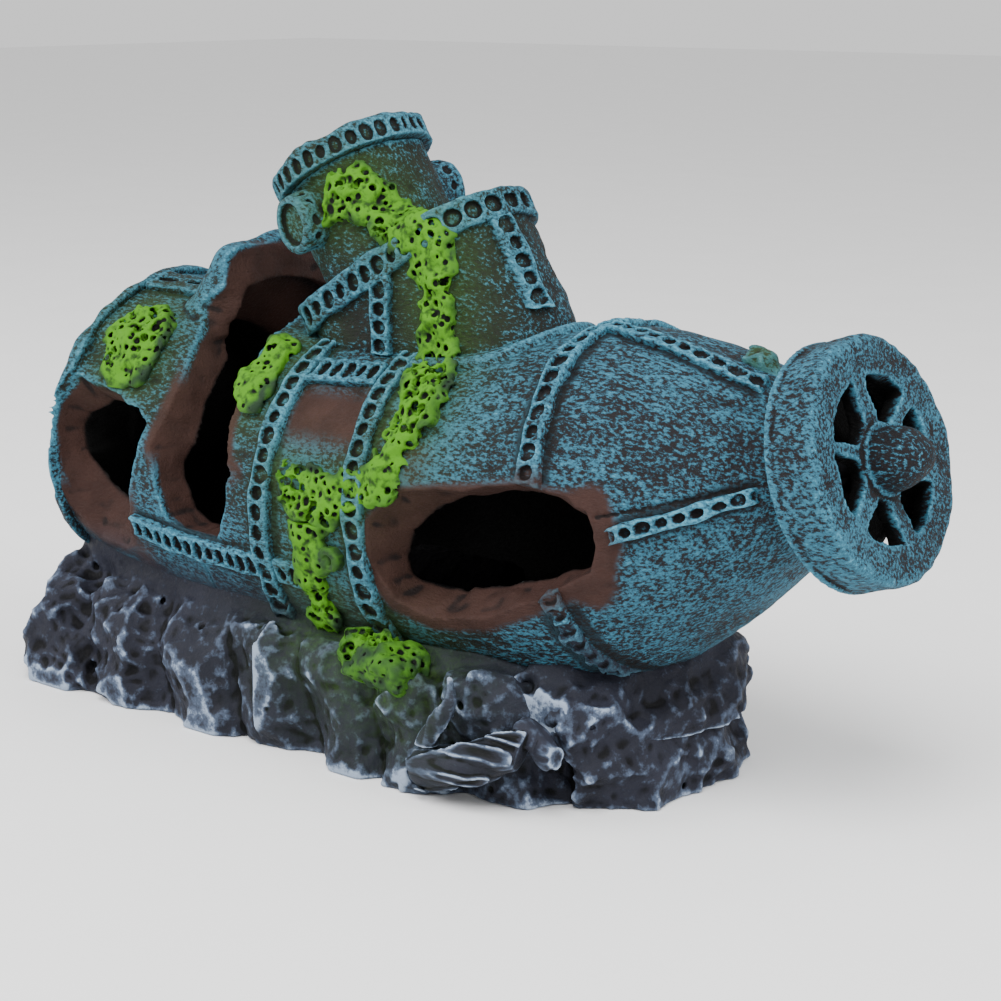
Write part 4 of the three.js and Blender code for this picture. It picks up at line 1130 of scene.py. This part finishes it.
def build_moss(material):
    for name, run in MOSS_RUNS.items():
        field = around(name, voxel=0.27, margin=2.5)
        if name == "moss_clump":
            floor, thickness = 0, 9.0
        else:
            floor, thickness = moss_base(field), 1.8
        shape = moss_shape(field, run, floor, thickness)

        def paint(mesh):
            set_attribute(mesh, "border", -route_distance(*vertex_places(mesh), run))

        build_piece(name + "_sponge", field, shape, material, [name], paint)


# ---------------------------------------------------------------- bubbler
STONE_AXIS = (3, 26.5)            # y and z of the air stone's middle line
INLET_Z = 5
TUBE_END_Y = 23.5
TUBE_RUN = [(2.5, *STONE_AXIS), (8, 4.5, 26.5), (12.5, 9, 24), (INLET_X, 11, 19), (INLET_X, 11, 11),
            (INLET_X, 14, 6.2), (INLET_X, 19, INLET_Z), (INLET_X, TUBE_END_Y, INLET_Z)]


def stone_radius(field):
    return np.hypot(field.y - STONE_AXIS[0], field.z - STONE_AXIS[1])


def tube_distance(field, route, radius):
    return route_distance(*field.axes, [(*point, radius) for point in route])


def build_bubbler(plastic, stone, line):
    field = around("air_stone", voxel=0.3)
    radius = stone_radius(field)
    grit = 0.3 * noise(field, 0.9, 151)
    shape = rounded_corner(radius - 4.8 - grit, np.abs(field.x + 11) - 10.9 - grit, 0.8)
    nipple = np.maximum(radius - 1.3, np.abs(field.x - 1) - 1)
    build_piece("air_stone_grit", field, np.minimum(shape, nipple), stone, ["air_stone"])

    field = around("air_tube", voxel=0.35)
    shape = tube_distance(field, smoothed(TUBE_RUN), 2.4)
    shape = most(shape, TUBE_RUN[0][0] - field.x, field.y - TUBE_END_Y)
    build_piece("air_tube_run", field, shape, line, ["air_tube"])

    field = around("air_inlet", voxel=0.22)
    radius = np.hypot(field.x - INLET_X, field.z - INLET_Z)
    step = field.y - INLET_START
    barbs = 1.6 + 0.7 * np.clip(1 - ((step - 3) % 2) / 2, 0, 1) * (step > 3) * (step < 7)
    shape = np.maximum(radius - np.where(step < 2, 2.45, barbs), np.abs(step - 3.5) - 3.5)
    build_piece("air_inlet_barb", field, shape, line, ["air_inlet"])

    for node in ("air_stone_cradle", "air_tube_clip"):
        low, high = box_limits(node, margin=0)
        field = around(node, voxel=0.3)
        sides = [
            np.abs(axis - middle) - half + 0.05
            for axis, middle, half in zip(field.axes, (low + high) / 2, (high - low) / 2)
        ]
        stone_seat, tube_seat = 5.3, 2.8
        if node == "air_stone_cradle":
            seat = stone_radius(field) - stone_seat
        else:
            seat = tube_distance(field, TUBE_RUN, tube_seat)
        block = most(*sides, -seat, field_hull(field).skin + HULL_WALL - 0.5)
        build_piece(node + "_moulded", field, block, plastic, [node])


def smoothed(points, rounds=2):
    """The route with its corners cut, so that it bends smoothly."""
    for _ in range(rounds):
        cut = [points[0]]
        for a, b in zip(points, points[1:]):
            cut.append(tuple(0.75 * p + 0.25 * q for p, q in zip(a, b)))
            cut.append(tuple(0.25 * p + 0.75 * q for p, q in zip(a, b)))
        points = cut + [points[-1]]
    return points


# ---------------------------------------------------------------- materials
class Paint:
    """A node material with short helpers. Sizes are in millimetres."""

    def __init__(self, name):
        self.material = bpy.data.materials.new(name)
        self.material.use_nodes = True
        self.nodes = self.material.node_tree.nodes
        self.links = self.material.node_tree.links
        self.nodes.clear()
        self.place = self.add("TexCoord", {}).outputs["Object"]

    def add(self, kind, inputs, **settings):
        """A new node with those settings, and a value or a link for each input."""
        node = self.nodes.new("ShaderNode" + kind)
        for name, value in settings.items():
            setattr(node, name, value)
        for socket, value in inputs.items():
            if isinstance(value, bpy.types.NodeSocket):
                self.links.new(value, node.inputs[socket])
            else:
                node.inputs[socket].default_value = value
        return node

    def attribute(self, name):
        return self.add("Attribute", {}, attribute_name=name).outputs["Fac"]

    def noise(self, size, detail=2.0, roughness=0.5, stretch=(1, 1, 1), shift=0.0):
        scale = 1 / (size * MM)
        mapping = self.add("Mapping", {
            "Vector": self.place,
            "Scale": [scale / share for share in stretch],
            "Location": (shift, shift, shift),
        })
        texture = self.add("TexNoise", {
            "Vector": mapping.outputs["Vector"], "Scale": 1.0, "Detail": detail, "Roughness": roughness,
        })
        return texture.outputs["Fac"]

    def math(self, operation, a, b):
        return self.add("Math", {0: a, 1: b}, operation=operation).outputs[0]

    def plus(self, a, b):
        return self.math("ADD", a, b)

    def times(self, a, b):
        return self.math("MULTIPLY", a, b)

    def swing(self, value, gain):
        """How far a texture is from its middle, times a gain."""
        return self.times(self.math("SUBTRACT", value, 0.5), gain)

    def ramp(self, value, low, high, start=0.0, end=1.0):
        limits = {"From Min": low, "From Max": high, "To Min": start, "To Max": end}
        node = self.add("MapRange", {"Value": value, **limits}, interpolation_type="SMOOTHSTEP")
        return node.outputs["Result"]

    def mix(self, share, a, b):
        first, second = [(*colour, 1) if isinstance(colour, tuple) else colour for colour in (a, b)]
        return self.add("Mix", {0: share, 6: first, 7: second}, data_type="RGBA").outputs[2]

    def finish(self, colour, roughness, relief, depth, specular=0.12):
        bump = self.add("Bump", {"Distance": depth * MM, "Height": relief})
        shader = self.add("BsdfPrincipled", {
            "Base Color": colour,
            "Roughness": roughness,
            "Specular IOR Level": specular,
            "Normal": bump.outputs["Normal"],
        })
        self.add("OutputMaterial", {"Surface": shader.outputs["BSDF"]})
        return self.material


def srgb(red, green, blue):
    """A colour given as 0 to 255 display values, as the linear values that shaders use."""
    return tuple(((value / 255 + 0.055) / 1.055) ** 2.4 for value in (red, green, blue))


WASH = srgb(27, 25, 27)
TEAL = srgb(50, 98, 118)
PALE_TEAL = srgb(84, 146, 168)
RUST = srgb(66, 45, 40)
DEEP_RUST = srgb(40, 26, 23)
HAZE_GREEN = srgb(54, 84, 28)
SLATE = srgb(40, 42, 53)
SHADE_BLACK = srgb(4, 4, 4)


def wreck_paint(name, coverage, catch):
    """Dark wash under a teal dry brush that catches on the relief, over rust, slate and green areas."""
    paint = Paint(name)
    edge = paint.attribute("edge")
    fleck = paint.noise(0.5, detail=4, roughness=0.7, stretch=(2.0, 1, 1))
    cloud = paint.noise(14, detail=2, shift=3.1)
    brush = paint.plus(fleck, paint.times(edge, catch))
    brush = paint.plus(brush, paint.swing(cloud, 0.24))
    covered = paint.ramp(brush, 0.47 - coverage, 0.62 - coverage)
    teal = paint.mix(paint.ramp(brush, 0.6, 0.85), TEAL, PALE_TEAL)
    colour = paint.mix(covered, WASH, teal)
    # painted shade along the sides of the straps
    colour = paint.mix(paint.times(paint.attribute("strap_shade"), 0.85), colour, srgb(20, 18, 19))
    rust_tone = paint.mix(paint.noise(5, detail=4), DEEP_RUST, RUST)
    colour = paint.mix(paint.attribute("rust"), colour, rust_tone)
    slate_tone = paint.mix(paint.ramp(fleck, 0.5, 0.75), SLATE, srgb(62, 72, 86))
    colour = paint.mix(paint.attribute("slate"), colour, slate_tone)
    green = paint.times(paint.attribute("green"), paint.ramp(fleck, 0.3, 0.7, 0.2, 0.6))
    colour = paint.mix(green, colour, HAZE_GREEN)
    hollow = paint.ramp(edge, -0.06, -0.4)
    colour = paint.mix(paint.times(hollow, 0.8), colour, srgb(18, 17, 18))
    # painted shade: black inside the hull, behind the wheel and deep in its windows
    colour = paint.mix(paint.attribute("black"), colour, SHADE_BLACK)
    return paint.finish(colour, paint.ramp(fleck, 0.3, 0.7, 0.55, 0.8), fleck, 0.4)


def rock_paint(name, stretch=(1, 1, 1)):
    """Near-black stone or wood, dry brushed with pale grey on its ridges."""
    paint = Paint(name)
    edge = paint.attribute("edge")
    speck = paint.noise(1.1, detail=5, roughness=0.68, stretch=stretch)
    cloud = paint.noise(9, detail=3, shift=1.7)
    base = paint.mix(cloud, srgb(18, 18, 22), srgb(44, 46, 58))
    lifted = paint.plus(paint.times(edge, 0.6), paint.times(paint.attribute("swell"), 0.2))
    lifted = paint.plus(lifted, paint.swing(speck, 2.0))
    grey = paint.mix(paint.ramp(lifted, 0.1, 0.8), base, srgb(72, 83, 102))
    colour = paint.mix(paint.ramp(lifted, 0.65, 1.2), grey, srgb(140, 154, 174))
    colour = paint.mix(paint.ramp(edge, -0.15, -0.6), colour, srgb(12, 12, 15))
    green = paint.times(paint.attribute("green"), paint.ramp(speck, 0.35, 0.7, 0.2, 0.75))
    colour = paint.mix(green, colour, HAZE_GREEN)
    return paint.finish(colour, paint.ramp(speck, 0.3, 0.7, 0.5, 0.75), speck, 0.3)


def moss_paint():
    """Bright green, with painted shade in its holes, and patchily dark along its border."""
    paint = Paint("moss")
    edge = paint.attribute("edge")
    speck = paint.noise(1.1, detail=3)
    patch = paint.noise(6, detail=2, shift=2.2)
    raised = paint.plus(speck, paint.times(edge, 0.25))
    green = paint.mix(paint.ramp(raised, 0.35, 0.7), srgb(30, 58, 12), srgb(72, 126, 26))
    rim = paint.ramp(paint.attribute("border"), 1.6, -0.4)
    rim = paint.times(rim, paint.ramp(patch, 0.4, 0.6, 0.35, 0.95))
    green = paint.mix(rim, green, srgb(28, 42, 34))
    # painted shade: near-black in the moss's holes
    colour = paint.mix(paint.ramp(edge, 0.0, -0.25), green, srgb(7, 10, 6))
    return paint.finish(colour, paint.ramp(speck, 0.3, 0.7, 0.6, 0.85), speck, 0.25)


def plain_paint(name, dark, light, size, roughness, depth):
    paint = Paint(name)
    speck = paint.noise(size, detail=3)
    sheen = paint.ramp(speck, 0.3, 0.7, roughness, roughness + 0.15)
    return paint.finish(paint.mix(speck, dark, light), sheen, speck, depth)


def floor_paint():
    paint = Paint("studio_floor")
    speck = paint.noise(30, detail=2)
    colour = paint.mix(speck, (0.86, 0.86, 0.86), (0.9, 0.9, 0.9))
    return paint.finish(colour, 0.9, speck, 0.02, specular=0.1)


# ---------------------------------------------------------------- studio
def build_studio():
    size = 3.0
    mesh = bpy.data.meshes.new("studio_floor")
    corners = [(-size, -size, 0), (size, -size, 0), (size, size, 0), (-size, size, 0)]
    mesh.from_pydata(corners, [], [(0, 1, 2, 3)])
    floor = bpy.data.objects.new("studio_floor", mesh)
    bpy.context.scene.collection.objects.link(floor)
    floor.data.materials.append(floor_paint())

    world = bpy.data.worlds.new("studio")
    world.use_nodes = True
    world.node_tree.nodes["Background"].inputs["Color"].default_value = (1, 1, 1, 1)
    world.node_tree.nodes["Background"].inputs["Strength"].default_value = 0.95
    bpy.context.scene.world = world

    lamps = {
        "key": ((0.25, -0.45, 0.75), 0.5, 9.0),
        "left": ((-0.6, -0.5, 0.5), 0.5, 5.0),
        "right": ((0.75, 0.1, 0.45), 0.4, 4.0),
    }
    for name, (place, size, power) in lamps.items():
        light = bpy.data.lights.new(name, "AREA")
        light.shape = "DISK"
        light.size = size
        light.energy = power
        lamp = bpy.data.objects.new(name, light)
        lamp.location = place
        aim = Vector((0, 0, 0.045)) - lamp.location
        lamp.rotation_euler = aim.to_track_quat("-Z", "Y").to_euler()
        bpy.context.scene.collection.objects.link(lamp)


def build_camera():
    azimuth, elevation = math.radians(40), math.radians(13)
    target = Vector((0, 0, 0.043))
    distance = 0.39
    back = Vector((
        math.sin(azimuth) * math.cos(elevation),
        -math.cos(azimuth) * math.cos(elevation),
        math.sin(elevation),
    ))
    data = bpy.data.cameras.new("camera")
    data.lens = 82.7
    data.sensor_width = 36
    data.dof.use_dof = False
    camera = bpy.data.objects.new("camera", data)
    camera.location = target + back * distance
    camera.rotation_euler = back.to_track_quat("Z", "Y").to_euler()
    bpy.context.scene.collection.objects.link(camera)
    bpy.context.scene.camera = camera


def build_ornament():
    hull_paint = wreck_paint("hull_paint", coverage=0.02, catch=0.16)
    tower_paint = wreck_paint("tower_paint", coverage=-0.06, catch=0.2)
    band_paint = wreck_paint("band_paint", coverage=-0.01, catch=0.16)
    stone = rock_paint("rock")
    wood = rock_paint("driftwood", stretch=(4, 1, 1))
    moss = moss_paint()
    plastic = plain_paint("dark_plastic", srgb(30, 30, 32), srgb(44, 44, 46), 0.8, 0.4, 0.05)
    grit = plain_paint("air_stone_grit", srgb(9, 9, 11), srgb(18, 18, 21), 0.7, 0.85, 0.4)
    line = plain_paint("air_line", srgb(140, 150, 148), srgb(176, 186, 184), 2.0, 0.3, 0.05)
    build_hull(hull_paint)
    build_bands(band_paint)
    build_straps(band_paint)
    build_casemate(tower_paint)
    build_tower_straps(band_paint)
    build_flange(band_paint)
    build_turret(tower_paint, band_paint)
    build_portholes(band_paint)
    build_fittings(hull_paint, moss)
    build_propeller(hull_paint, tower_paint, plastic)
    build_rock(stone)
    build_wood(wood)
    build_moss(moss)
    build_bubbler(plastic, grit, line)


build_ornament()
build_studio()
build_camera()
